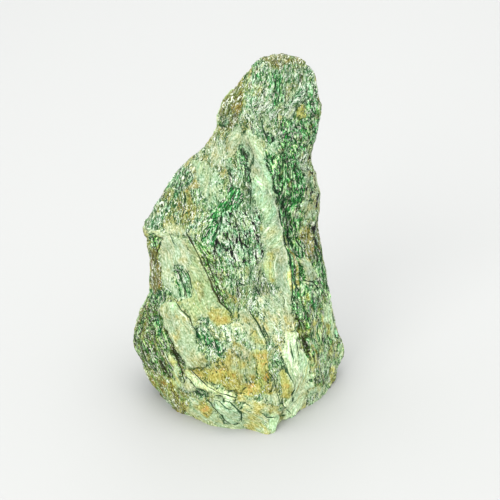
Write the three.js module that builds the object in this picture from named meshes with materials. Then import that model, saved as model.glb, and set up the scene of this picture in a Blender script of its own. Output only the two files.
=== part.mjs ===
// A sawn fuchsite stone: a leaning fin of layered green mica rock that stands on a flat cut.
// Millimetres, +Z up. X runs to the right and Y away from whoever looks at the front.
// The stone is one closed skin: eleven rails that run from the cut to the crown carry the main form,
// and the rock's own relief (lumps, layer edges, ledges, pits and cracks) moves it along its normals.
import * as THREE from "three";
import { ImprovedNoise } from "three/addons/math/ImprovedNoise.js";

// Driving dimensions
const CROWN_HEIGHT = 162; // the top of the stone above the cut
const CROWN_CENTRE = [17.5, 48]; // where the rails meet, seen from above
const STEPS_PER_RAIL = 8; // columns between two neighbouring rails
const ROWS = 48; // rows from the cut to the last section
const CROWN_ROWS = 3; // rows that round the crown off
const CORNER_TENSION = 0.34; // 0 would be flat faces with hard corners, 0.5 fully rounded ones
const RAIL_TENSION = 0.42;

// The sections' heights above the cut, and the rails: where each rail passes every section, as
// [x, y] from the cut upwards. The rails are in order round the stone, to the right of its ridge.
const SECTION_HEIGHTS = [0, 12, 29, 47, 64, 80, 96, 111, 124, 138, 149, 156.5];
const railPaths = {
  frontRidge: [
    [12.4, 2.4], [20.5, 8], [28.5, 13], [25.5, 18.5], [22.7, 23], [20, 27],
    [16.3, 31], [12.3, 34], [8.5, 36], [9, 37.5], [12.5, 39], [14.5, 41.5],
  ],
  groove: [
    [18, 12.5], [29, 21], [33, 26], [29.5, 28], [26.5, 32], [23.5, 34],
    [20.5, 36.5], [18, 37.5], [16.5, 37.5], [17.5, 38], [19, 39.5], [19, 41.5],
  ],
  rightFlank: [
    [33, 26.5], [39.5, 34], [39, 38], [35.5, 39], [33, 42], [29.5, 43],
    [27, 43], [25, 42.5], [25.5, 42], [26.5, 42], [26.5, 43], [24, 44],
  ],
  rightEdge: [
    [45.5, 47], [48.5, 52], [44.5, 52.5], [40.5, 53], [38.5, 54], [35.5, 54.5],
    [34, 54], [33, 52.5], [34.5, 51.5], [33.2, 50.5], [32.4, 49.5], [29.5, 48.5],
  ],
  backRight: [
    [38, 71], [40, 74], [39, 76], [35, 76], [32, 74], [29, 71],
    [27, 68], [27, 65], [28, 63], [29, 59.5], [28, 56.5], [25, 53],
  ],
  backMiddle: [
    [6, 81], [6, 85], [5, 86], [3, 84], [1, 80], [0, 76],
    [1, 72.5], [4, 69.5], [8, 67], [13, 63], [16, 59], [17, 55],
  ],
  backLeft: [
    [-26, 73], [-29, 76], [-31, 78], [-28, 76], [-26, 74], [-24, 71],
    [-20, 69], [-14, 66.5], [-4, 64], [3, 61], [8, 57], [10, 53.5],
  ],
  leftEdge: [
    [-39.5, 44], [-46, 44], [-49, 47], [-42.3, 49], [-43.5, 50], [-42, 51],
    [-35, 52], [-24, 53], [-11.5, 53.5], [-6, 53], [0, 51.5], [4, 50],
  ],
  leftShoulder: [
    [-25, 16.5], [-31.5, 18], [-38, 22], [-34, 27], [-33.5, 33], [-34, 39],
    [-27, 43.5], [-18, 46], [-9, 47], [-4, 47], [1.5, 46.5], [6, 46.5],
  ],
  frontMiddle: [
    [-8, 5.5], [-11, 5], [-12, 8], [-11, 15], [-11, 22], [-12, 29],
    [-11, 34], [-8, 38], [-4, 40.5], [-0.5, 42], [4, 43], [8.5, 43.5],
  ],
  veinEdge: [
    [4.5, 5], [8, 3], [12, 7], [14, 14], [14, 19.5], [11.5, 25],
    [7, 29.5], [3.5, 33.5], [2, 37], [3.5, 39], [7.5, 40.5], [11, 42],
  ],
};

const rails = Object.values(railPaths).map((path) => {
  const points = path.map(([x, y], i) => new THREE.Vector3(x, y, SECTION_HEIGHTS[i]));
  return new THREE.CatmullRomCurve3(points, false, "catmullrom", RAIL_TENSION);
});
const COLUMNS = rails.length * STEPS_PER_RAIL;

// One ring of the smooth form, at a share of the way from the cut to the last section.
function ringAt(share) {
  const corners = rails.map((rail) => rail.getPoint(share));
  const loop = new THREE.CatmullRomCurve3(corners, true, "catmullrom", CORNER_TENSION);
  return Array.from({ length: COLUMNS }, (_, c) => loop.getPoint(c / COLUMNS));
}

// The smooth form's points, ring after ring: the rings up to the last section, the crown, which
// closes like a quarter ellipse, the crown's top point and the middle of the cut.
function smoothPoints() {
  const rings = Array.from({ length: ROWS + 1 }, (_, r) => ringAt(r / ROWS));
  const last = rings[ROWS];
  const top = new THREE.Vector3(...CROWN_CENTRE, CROWN_HEIGHT);
  for (let r = 1; r < CROWN_ROWS; r++) {
    const angle = (r / CROWN_ROWS) * (Math.PI / 2);
    const height = THREE.MathUtils.lerp(last[0].z, CROWN_HEIGHT, Math.sin(angle));
    const towardsTop = (p) => new THREE.Vector3().lerpVectors(top, p, Math.cos(angle));
    rings.push(last.map((p) => towardsTop(p).setZ(height)));
  }
  const foot = new THREE.Vector3();
  rings[0].forEach((p) => foot.addScaledVector(p, 1 / COLUMNS));
  return [...rings.flat(), top, foot];
}

// The skin over such points: two triangles in each cell, split along its shorter diagonal, a fan on
// the crown and a fan on the cut.
function skin(points) {
  const [topIndex, footIndex] = [points.length - 2, points.length - 1];
  const lastRow = topIndex - COLUMNS;
  const faces = [];
  for (let row = 0; row < lastRow; row += COLUMNS) {
    for (let c = 0; c < COLUMNS; c++) {
      const [a, b] = [row + c, row + ((c + 1) % COLUMNS)];
      const [up, upNext] = [a + COLUMNS, b + COLUMNS];
      const rising = points[a].distanceTo(points[upNext]) < points[b].distanceTo(points[up]);
      faces.push(...(rising ? [a, b, upNext, a, upNext, up] : [a, b, up, b, upNext, up]));
    }
  }
  for (let c = 0; c < COLUMNS; c++) {
    const next = (c + 1) % COLUMNS;
    faces.push(lastRow + c, lastRow + next, topIndex);
    faces.push(next, c, footIndex);
  }
  const geometry = new THREE.BufferGeometry().setFromPoints(points);
  geometry.setIndex(faces);
  geometry.computeVertexNormals();
  return geometry;
}

// Relief: the functions below give heights in millimetres along the normal.

// Noise over space as a sum of scales, each one [wavelength, height, seed].
const perlin = new ImprovedNoise();
function noise(p, scales) {
  return scales.reduce((sum, [size, height, seed]) => {
    const wave = perlin.noise(p.x / size + seed, p.y / size + 1.7 * seed, p.z / size - seed);
    return sum + height * wave;
  }, 0);
}

// The rock's fabric: layers that dip towards the front left and curl under at the foot.
const LAYER_NORMAL = new THREE.Vector3(-0.45, -0.85, 0.2).normalize();
const LAYER_THICKNESS = 7.5;
const LAYER_STEP = 3;
const LAYER_EDGE = 0.66; // share of a layer after which its edge drops to the next one
const LAYER_WAVES = [[34, 5, 3.1], [13, 1.8, 8.6]];
const SLAB_SIZE = [38, 52]; // how far a layer keeps its height, across and up
const FOLD_TOP = 42; // below this height the layers curl under
const FOLD_CURVE = 0.011;

function layers(p) {
  const fold = FOLD_CURVE * Math.max(0, FOLD_TOP - p.z) ** 2;
  const depth = (p.dot(LAYER_NORMAL) + fold + noise(p, LAYER_WAVES)) / LAYER_THICKNESS;
  const layer = Math.floor(depth);
  const slab = (k) =>
    perlin.noise(3.7 * k + 0.5, p.x / SLAB_SIZE[0] + k, p.z / SLAB_SIZE[1] - k);
  const edge = THREE.MathUtils.smoothstep(depth - layer, LAYER_EDGE, 1);
  return LAYER_STEP * THREE.MathUtils.lerp(slab(layer), slab(layer + 1), edge);
}

const LUMPS = [[21, 1.9, 5.2], [10.5, 1.5, 9.4], [6.8, 0.8, 2.8]];

// Features that follow a line on the surface. A crack is a groove with a round floor. A ledge
// stands up on the left of its line, seen from outside while walking along it.
const cracks = [
  {
    name: "crown",
    depth: 1.6,
    half: 3,
    line: [[9.7, 37.6, 139.3], [12.3, 36.9, 130.5], [14, 37, 126.3]],
  },
  {
    name: "left of the vein",
    depth: 3.2,
    half: 4.5,
    line: [[2.8, 36.5, 122.8], [6.2, 32.6, 108], [6.6, 29.6, 94]],
  },
  {
    name: "over the pale band",
    depth: 2.2,
    half: 4,
    line: [[-26, 35.8, 82], [-16.4, 26.4, 70], [-6, 19.2, 59.5], [1.4, 15.5, 51.4]],
  },
  {
    name: "middle of the front",
    depth: 2.8,
    half: 4,
    line: [[1.4, 15.5, 51.4], [8, 11.1, 40.2], [12.5, 7, 28.8], [17.5, 5.9, 17]],
  },
  {
    name: "left bulge",
    depth: 3.2,
    half: 4,
    line: [[-41.3, 28.4, 33.2], [-35, 18.9, 24], [-27.4, 14.3, 11]],
  },
  { name: "ridge", depth: 3, half: 4.5, line: [[25, 19.1, 50], [27, 18.6, 43]] },
  {
    name: "long one in the back",
    depth: 2.8,
    half: 4.5,
    line: [[22, 68, 112], [12, 78, 84], [16, 82, 56], [4, 85, 30]],
  },
  {
    name: "short one in the back",
    depth: 2.2,
    half: 4,
    line: [[-22, 74, 66], [-14, 80, 44], [-18, 79, 26]],
  },
];
const ledges = [
  {
    name: "mica over the pale band",
    rise: 2.6,
    reach: 13,
    line: [[-26, 35.8, 82], [-16.4, 26.4, 70], [-6, 19.2, 59.5], [1.4, 15.5, 51.4]],
  },
  {
    name: "long plate on the left",
    rise: 3.2,
    reach: 10,
    line: [[-12.4, 10.3, 35], [-20.5, 17.8, 44], [-28, 25.7, 53.6], [-34.5, 31.2, 52.3]],
  },
  {
    name: "white edge of the ridge",
    rise: 2.4,
    reach: 8,
    line: [[9.8, 10.3, 38], [17.4, 7.6, 26.4], [19.8, 6.8, 15.5]],
  },
  {
    name: "chip on the left edge",
    rise: 2.6,
    reach: 7,
    line: [[-43, 50, 80], [-37, 41, 79], [-33, 38, 77]],
  },
  {
    name: "step below the crown",
    rise: 1.6,
    reach: 7,
    line: [[-11.4, 51.4, 132], [-6.4, 45.5, 131.6], [0.2, 39.3, 131]],
  },
  {
    name: "strips at the foot",
    rise: 2.4,
    reach: 8,
    line: [[0, 3.1, 14], [-13.4, 6.5, 18.8], [-24, 12.8, 27.5]],
  },
  {
    name: "block on the right flank",
    rise: 2.4,
    reach: 10,
    line: [[40, 52, 49], [32.8, 37.1, 53.4], [28.5, 30.4, 54.8]],
  },
  {
    name: "upper slab of the back",
    rise: 3.2,
    reach: 16,
    line: [[30, 66, 74], [12, 76, 82], [-8, 75, 78], [-22, 70, 92]],
  },
  {
    name: "lower slab of the back",
    rise: 3,
    reach: 14,
    line: [[-30, 70, 22], [-16, 80, 40], [6, 84, 36], [30, 78, 48]],
  },
];
// Round features: a depth below zero is a knob.
const pits = [
  { name: "notch by the vein's top", at: [0.2, 39.4, 131.4], radius: 6, depth: 3 },
  { name: "chip beside the foot's corner", at: [22, 12, 4], radius: 7, depth: 2.6 },
  { name: "chip in the front of the foot", at: [-7, 6, 0], radius: 6, depth: 1.8 },
  { name: "hollow beside the ridge", at: [33, 24, 34], radius: 10, depth: 2.4 },
  { name: "dent in the right edge", at: [33, 52, 113], radius: 9, depth: 1.6 },
  { name: "knob on the left bulge", at: [-46, 40, 30], radius: 10, depth: -1 },
  { name: "hollow in the back", at: [-6, 80, 58], radius: 13, depth: 3 },
];
const LEDGE_WIDTH = 2.6; // half of the slope that joins a ledge to what lies below it
const LEDGE_END = 4; // how softly a ledge runs out past the ends of its line

const segment = new THREE.Line3();
const nearest = new THREE.Vector3();

// How far p is from a line of points: along and beside it, with left of the line as positive.
function besideLine(p, normal, line) {
  let best = { distance: Infinity };
  for (let i = 0; i + 1 < line.length; i++) {
    segment.start.set(...line[i]);
    segment.end.set(...line[i + 1]);
    const share = segment.closestPointToPointParameter(p, true);
    segment.at(share, nearest);
    const distance = nearest.distanceTo(p);
    if (distance >= best.distance) continue;
    const left = normal.clone().cross(segment.delta(new THREE.Vector3())).normalize();
    const side = left.dot(p.clone().sub(nearest));
    const pastEnd = (i === 0 && share === 0) || (i + 2 === line.length && share === 1);
    best = { distance, side: Math.sign(side) * distance, beyond: pastEnd ? distance : 0 };
  }
  return best;
}

const bell = (distance, reach) => Math.exp(-((distance / reach) ** 2));

function crackHeight(p, normal, { depth, half, line }) {
  const { distance } = besideLine(p, normal, line);
  return -depth * THREE.MathUtils.smoothstep(half - distance, 0, half);
}

function ledgeHeight(p, normal, { rise, reach, line }) {
  const { distance, side, beyond } = besideLine(p, normal, line);
  const step = THREE.MathUtils.smoothstep(side, -LEDGE_WIDTH, LEDGE_WIDTH);
  return rise * step * bell(distance, reach) * bell(beyond, LEDGE_END);
}

function pitHeight(p, { at, radius, depth }) {
  const distance = p.distanceTo(new THREE.Vector3(...at));
  return -depth * THREE.MathUtils.smoothstep(radius - distance, 0, radius);
}

const total = (list, height) => list.reduce((sum, item) => sum + height(item), 0);

function relief(p, normal) {
  return (
    layers(p) +
    noise(p, LUMPS) +
    total(cracks, (crack) => crackHeight(p, normal, crack)) +
    total(ledges, (ledge) => ledgeHeight(p, normal, ledge)) +
    total(pits, (pit) => pitHeight(p, pit))
  );
}

// A point with its relief. The cut stays flat: its rim only moves sideways, its middle not at all,
// and everything else stays above it.
const CLEAR_OF_CUT = 0.6;
function roughened(p, normal) {
  const onCut = p.z === 0;
  if (onCut) normal.setZ(0);
  if (normal.lengthSq() === 0) return p;
  const moved = p.clone().addScaledVector(normal.normalize(), relief(p, normal));
  return moved.setZ(onCut ? 0 : Math.max(moved.z, CLEAR_OF_CUT));
}

// The origin is the middle of the foot of the stone's box.
function centreOverFoot(geometry) {
  geometry.computeBoundingBox();
  const middle = geometry.boundingBox.getCenter(new THREE.Vector3());
  geometry.translate(-middle.x, -middle.y, 0);
}

const smooth = smoothPoints();
const { normal: normals } = skin(smooth).attributes;
const rough = smooth.map((p, i) => roughened(p, new THREE.Vector3().fromBufferAttribute(normals, i)));
const geometry = skin(rough);
centreOverFoot(geometry);

const stone = new THREE.Mesh(
  geometry,
  new THREE.MeshStandardMaterial({ color: 0x7fa67a, roughness: 0.55, metalness: 0 }),
);
stone.name = "stone";

const group = new THREE.Group();
group.add(stone);
export default group;
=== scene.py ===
# %% [markdown]
# # A sawn fuchsite stone
# Fuchsite is a green mica. This stone is a leaning fin of mica rock, split rough all round and sawn
# flat underneath so that it stands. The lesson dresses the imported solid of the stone: it adds the
# fine relief and the finish, and leaves the size and the place as they are.

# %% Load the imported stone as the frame
import math
from collections import namedtuple

import bmesh
import bpy
import numpy as np
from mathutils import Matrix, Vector, noise


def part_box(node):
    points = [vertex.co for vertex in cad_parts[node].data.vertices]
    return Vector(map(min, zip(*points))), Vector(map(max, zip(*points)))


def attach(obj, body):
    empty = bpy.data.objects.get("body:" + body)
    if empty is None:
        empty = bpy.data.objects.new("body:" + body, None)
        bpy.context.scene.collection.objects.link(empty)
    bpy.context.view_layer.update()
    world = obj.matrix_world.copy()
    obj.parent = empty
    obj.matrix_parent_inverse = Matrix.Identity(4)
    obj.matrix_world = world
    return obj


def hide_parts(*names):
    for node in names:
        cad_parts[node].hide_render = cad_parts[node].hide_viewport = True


MM = 0.001
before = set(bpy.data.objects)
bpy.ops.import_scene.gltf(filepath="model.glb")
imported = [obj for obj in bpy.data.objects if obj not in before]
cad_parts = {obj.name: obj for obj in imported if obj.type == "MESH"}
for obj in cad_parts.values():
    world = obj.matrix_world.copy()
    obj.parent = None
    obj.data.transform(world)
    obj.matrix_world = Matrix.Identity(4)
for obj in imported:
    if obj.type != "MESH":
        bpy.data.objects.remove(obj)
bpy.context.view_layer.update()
stone_low, stone_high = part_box("stone")
print("the stone is", [round(v / MM, 1) for v in stone_high - stone_low], "mm")

# %% [markdown]
# ## The camera
# The stone was seen from a little above, with a long lens. The camera's values were found by laying
# the solid's outline over the picture until the two agreed. `pixels_of` is the same camera written
# as a formula: it says at which pixel of the 500 by 500 picture a point of the stone appears, and
# the lesson uses it to put each marking where it is seen.

# %% Set up the camera and its formula
PICTURE = 500
FOCAL_PIXELS = 1320
CAMERA_DISTANCE = 600 * MM
CAMERA_HEIGHT = math.radians(25)
SENSOR = 36
LOOK_AT = Vector((4.9, -2.2, 72.3)) * MM
PIXELS_PER_MM = FOCAL_PIXELS / (CAMERA_DISTANCE / MM)

to_camera = Vector((0, -math.cos(CAMERA_HEIGHT), math.sin(CAMERA_HEIGHT)))
image_right = Vector((1, 0, 0))
image_up = to_camera.cross(image_right)
eye = LOOK_AT + CAMERA_DISTANCE * to_camera

lens = bpy.data.cameras.new("camera")
lens.sensor_width = SENSOR
lens.lens = SENSOR * FOCAL_PIXELS / PICTURE
lens.clip_start = 0.01
camera = bpy.data.objects.new("camera", lens)
camera.location = eye
camera.rotation_euler = (-to_camera).to_track_quat("-Z", "Y").to_euler()
scene = bpy.context.scene
scene.collection.objects.link(camera)
scene.camera = camera
print("one millimetre is", round(PIXELS_PER_MM, 1), "pixels in the middle of the stone")


def pixels_of(points):
    """Where points, given in millimetres, appear in the picture: two arrays, across and down."""
    ray = points * MM - np.array(eye)
    depth = -(ray @ np.array(to_camera))
    across = PICTURE / 2 + FOCAL_PIXELS * (ray @ np.array(image_right)) / depth
    down = PICTURE / 2 - FOCAL_PIXELS * (ray @ np.array(image_up)) / depth
    return across, down


# %% [markdown]
# ## The studio
# The picture is high key: a white table and soft light from everywhere, a little stronger from above
# and from the front left. A big window above, a second light in front, a weak one behind and a
# bright world give that; one lamp alone would throw a hard shadow that the picture doesn't have. The
# table is a stage, not part of the stone. It lies a hair below the sawn face, so that the two don't
# share one plane and flicker.

# %% Build the table, the lights and the world
TABLE_SIZE = 12.0
TABLE_GAP = 0.02 * MM
TABLE_COLOUR = (0.37, 0.372, 0.361)
WORLD_COLOUR, WORLD_STRENGTH = (0.97, 0.98, 1, 1), 1.35


def plain_material(name, colour, roughness):
    material = bpy.data.materials.new(name)
    material.use_nodes = True
    shader = material.node_tree.nodes["Principled BSDF"]
    shader.inputs["Base Color"].default_value = (*colour, 1)
    shader.inputs["Roughness"].default_value = roughness
    return material


def studio_table():
    bm = bmesh.new()
    bmesh.ops.create_grid(bm, x_segments=1, y_segments=1, size=TABLE_SIZE / 2)
    bmesh.ops.translate(bm, verts=bm.verts, vec=(0, 0, -TABLE_GAP))
    mesh = bpy.data.meshes.new("table")
    bm.to_mesh(mesh)
    bm.free()
    table = bpy.data.objects.new("table", mesh)
    mesh.materials.append(plain_material("white table", TABLE_COLOUR, 0.7))
    scene.collection.objects.link(table)


def soft_light(name, watts, size, place):
    """A square area light at a place, in metres, that faces the middle of the stone."""
    light = bpy.data.lights.new(name, "AREA")
    light.energy = watts
    light.size = size
    lamp = bpy.data.objects.new(name, light)
    lamp.location = place
    lamp.rotation_euler = (LOOK_AT - lamp.location).to_track_quat("-Z", "Y").to_euler()
    scene.collection.objects.link(lamp)


studio_table()
soft_light("window", 42, 2.2, (0.1, 0, 2.2))
soft_light("front", 45, 1.2, (-1.1, -1.9, 1.1))
soft_light("back", 9, 1.4, (0.2, 2.4, 1.2))
world = bpy.data.worlds.new("white room")
world.use_nodes = True
background = world.node_tree.nodes["Background"]
background.inputs["Color"].default_value = WORLD_COLOUR
background.inputs["Strength"].default_value = WORLD_STRENGTH
scene.world = world
scene.view_settings.view_transform = "Standard"
print("the table lies", round(TABLE_GAP / MM, 2), "mm below the stone")

# %% [markdown]
# ## The body of the stone
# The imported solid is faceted. A copy is merged, given a stub below the cut, subdivided, and wrapped
# in an even net of small squares by a voxel remesh, so that relief can be added everywhere at one
# scale. The stub lets the sides run through the cut; it is sawn off at the end, as the real one was.

# %% Wrap the solid in an even net
NET = 0.7 * MM
STUB = 4 * MM
SUBDIVISIONS = 2
TOUCHING = 1e-6


def merged_copy(node):
    bm = bmesh.new()
    bm.from_mesh(node.data)
    bmesh.ops.remove_doubles(bm, verts=bm.verts, dist=TOUCHING)
    return bm


def add_stub(bm):
    """Pulls the cut down, so that the sides go on below it."""
    cut = [face for face in bm.faces if all(abs(v.co.z) < TOUCHING for v in face.verts)]
    pulled = bmesh.ops.extrude_face_region(bm, geom=cut)["geom"]
    verts = [item for item in pulled if isinstance(item, bmesh.types.BMVert)]
    bmesh.ops.translate(bm, verts=verts, vec=(0, 0, -STUB))
    bmesh.ops.delete(bm, geom=cut, context="FACES")


def even_net(bm, name):
    mesh = bpy.data.meshes.new(name)
    bm.to_mesh(mesh)
    bm.free()
    draft = bpy.data.objects.new(name, mesh)
    scene.collection.objects.link(draft)
    smooth = draft.modifiers.new("smooth", "SUBSURF")
    smooth.levels = smooth.render_levels = SUBDIVISIONS
    remesh = draft.modifiers.new("net", "REMESH")
    remesh.mode = "VOXEL"
    remesh.voxel_size = NET
    finished = draft.evaluated_get(bpy.context.evaluated_depsgraph_get())
    net = bpy.data.meshes.new_from_object(finished)
    bpy.data.objects.remove(draft)
    return net


body = merged_copy(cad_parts["stone"])
add_stub(body)
net = even_net(body, "stone net")
print("the net has", len(net.vertices), "points and", len(net.polygons), "squares")

# %% [markdown]
# ## Reading and smoothing the net
# From here on the stone is handled as arrays: a row for each point, in millimetres. Two small
# helpers do most of the work. One averages a value with that of its neighbours, and the other
# gives smooth noise at any scale.

# %% Read the net and define the helpers
count = len(net.vertices)
points = np.empty(count * 3)
net.vertices.foreach_get("co", points)
points = points.reshape(-1, 3) / MM
edges = np.empty(len(net.edges) * 2, int)
net.edges.foreach_get("vertices", edges)
edges = edges.reshape(-1, 2)
neighbours = np.bincount(edges.ravel(), minlength=count)


def averaged(values, rounds):
    """Values after each point has taken the mean of its neighbours, some rounds over."""
    values = np.array(values, float)
    columns = values.reshape(count, -1)
    for _ in range(rounds):
        for c in range(columns.shape[1]):
            total = np.bincount(edges[:, 0], columns[edges[:, 1], c], count)
            total += np.bincount(edges[:, 1], columns[edges[:, 0], c], count)
            columns[:, c] = (columns[:, c] + total / neighbours) / 2
    return columns.reshape(values.shape)


def normals_of(places):
    net.vertices.foreach_set("co", (places * MM).ravel())
    net.update()
    normals = np.empty(count * 3)
    net.vertex_normals.foreach_get("vector", normals)
    return normals.reshape(-1, 3)


def waves(places, size, seed):
    """Smooth noise from about -1 to 1. Size is its wavelength, one number or one for each axis."""
    scaled = places / np.asarray(size, float) + seed * np.array([1, 1.7, -1])
    return np.array([noise.noise(Vector(p)) for p in scaled])


def smoothstep(values, low, high):
    t = np.clip((values - low) / (high - low), 0, 1)
    return t * t * (3 - 2 * t)


points = averaged(points, 3)
normals = normals_of(points)
lengths = np.linalg.norm(points[edges[:, 0]] - points[edges[:, 1]], axis=1)
print("neighbouring points lie about", round(lengths.mean(), 2), "mm apart")

# %% [markdown]
# ## The plates
# The rock broke along its layers, so its face is a mosaic of plates. Each has its own direction of
# streaks, its own height and its own share of pale rock, deep green mica, rust, black specks and
# painted glints, with tints on top. The plates that the picture shows are outlined in its pixels.
# Their borders are shaken by noise, so that they run like broken rock and not like drawn lines. Noise
# alone could make such plates too, but not where the real stone has them.
#
# Streaks are in degrees in the picture: 90 is upright and more than 90 leans like a backslash. Raised
# is in millimetres, and later plates lie over earlier ones. In a mix, pale, deep, rust and speck are
# the shares of pale rock, deep green mica, rust and black specks. Glint is the share of painted glints,
# yellow, teal and cream are tints, and bright makes a plate lighter or darker: partly its own tone and
# partly painted light and shade, lighter on faces that the lamps leave dark. A share over 1 covers the
# plate whole, and one below 0 keeps that rock out where a neighbour's would spill over.

# %% Outline the sides and the plates of the crown
Plate = namedtuple("Plate", "name streak raised mix outline")
PLATES = [
    Plate("left side", 85, 0,
          dict(pale=0.3, deep=0.2, rust=0.25, speck=0.15, yellow=0.4, glint=0.2, bright=-0.08),
          [(120, 440), (120, 150), (230, 30), (262, 130), (290, 290), (300, 340), (280, 440)]),
    # Its high brightness is partly painted light, lifting a face that the lamps leave darker.
    Plate("right side", 97, 0, dict(deep=0.8, rust=0.15, speck=0.35, yellow=0.3, glint=0.3, bright=0.7),
          [(280, 440), (300, 340), (290, 290), (262, 130), (262, 30), (360, 30), (360, 440)]),
    Plate("crown", 84, 0, dict(pale=0.25, deep=0.4, rust=0.3, speck=0.15, glint=0.35, bright=-0.04),
          [(236, 132), (240, 70), (262, 40), (330, 40), (330, 145), (262, 140)]),
    Plate("glinting slope of the crown", 40, 0.1,
          dict(pale=0.2, deep=0.2, speck=0.1, glint=0.6, bright=-0.1),
          [(254, 101), (268, 97), (284, 106), (300, 90), (307, 96), (298, 112), (286, 117),
           (276, 116), (257, 112)]),
    Plate("crown's green foot", 94, -0.3, dict(deep=0.9, speck=0.25, yellow=0.1, glint=0.25, bright=0.6),
          [(280, 120), (292, 117), (297, 126), (293, 146), (281, 142)]),
    Plate("crown's green right", 97, -0.2,
          dict(pale=0.1, deep=0.7, rust=0.15, speck=0.15, teal=0.2, glint=0.15, bright=0.24),
          [(296, 112), (310, 84), (326, 110), (324, 146), (300, 150), (294, 134)]),
    Plate("crown's teal spot", 96, -0.4,
          dict(pale=0.2, deep=0.6, speck=0.15, teal=0.5, glint=0.25, bright=0.36),
          [(268, 70), (280, 73), (283, 88), (278, 108), (273, 108), (270, 88)]),
    Plate("crown's left edge", 66, 0.3,
          dict(pale=0.1, deep=0.3, rust=0.7, speck=0.3, cream=1.3, yellow=0.8, bright=-0.42),
          [(200, 158), (215, 90), (245, 66), (250, 82), (240, 105), (236, 130), (225, 136)]),
    Plate("dark spot on the left edge", 66, -0.3, dict(deep=0.6, rust=0.3, speck=0.5, bright=-0.22),
          [(213, 116), (226, 112), (229, 120), (222, 126), (213, 122)]),
    Plate("crown's crust", 84, 0.2, dict(deep=0.3, rust=0.65, cream=0.8, yellow=0.6, bright=-0.4),
          [(258, 48), (312, 50), (303, 64), (288, 62), (280, 66), (262, 60)]),
    Plate("ochre spot", 84, 0.2, dict(pale=0.5, rust=1.3, cream=0.8, yellow=0.4, bright=0.1),
          [(299, 105), (306, 106), (308, 115), (301, 117)]),
    Plate("upper left field", 72, 0.4,
          dict(pale=0.4, deep=0.1, rust=0.45, speck=0.15, cream=1.2, glint=0.35, bright=-0.19),
          [(176, 166), (214, 126), (232, 128), (232, 155), (226, 176), (205, 186), (170, 190)]),
    Plate("lens left of the notch", 60, 0.5, dict(pale=1, rust=0.15, cream=1.2, bright=-0.08),
          [(228, 138), (236, 128), (243, 130), (240, 144), (232, 156), (226, 160)]),
]
print(len(PLATES), "plates so far")

# %% [markdown]
# The middle of the stone holds its pale vein, which is a broad split face with smooth facets. The
# deepest green lies in a trough right of it, and the right edge is greyer and full of specks.

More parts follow.
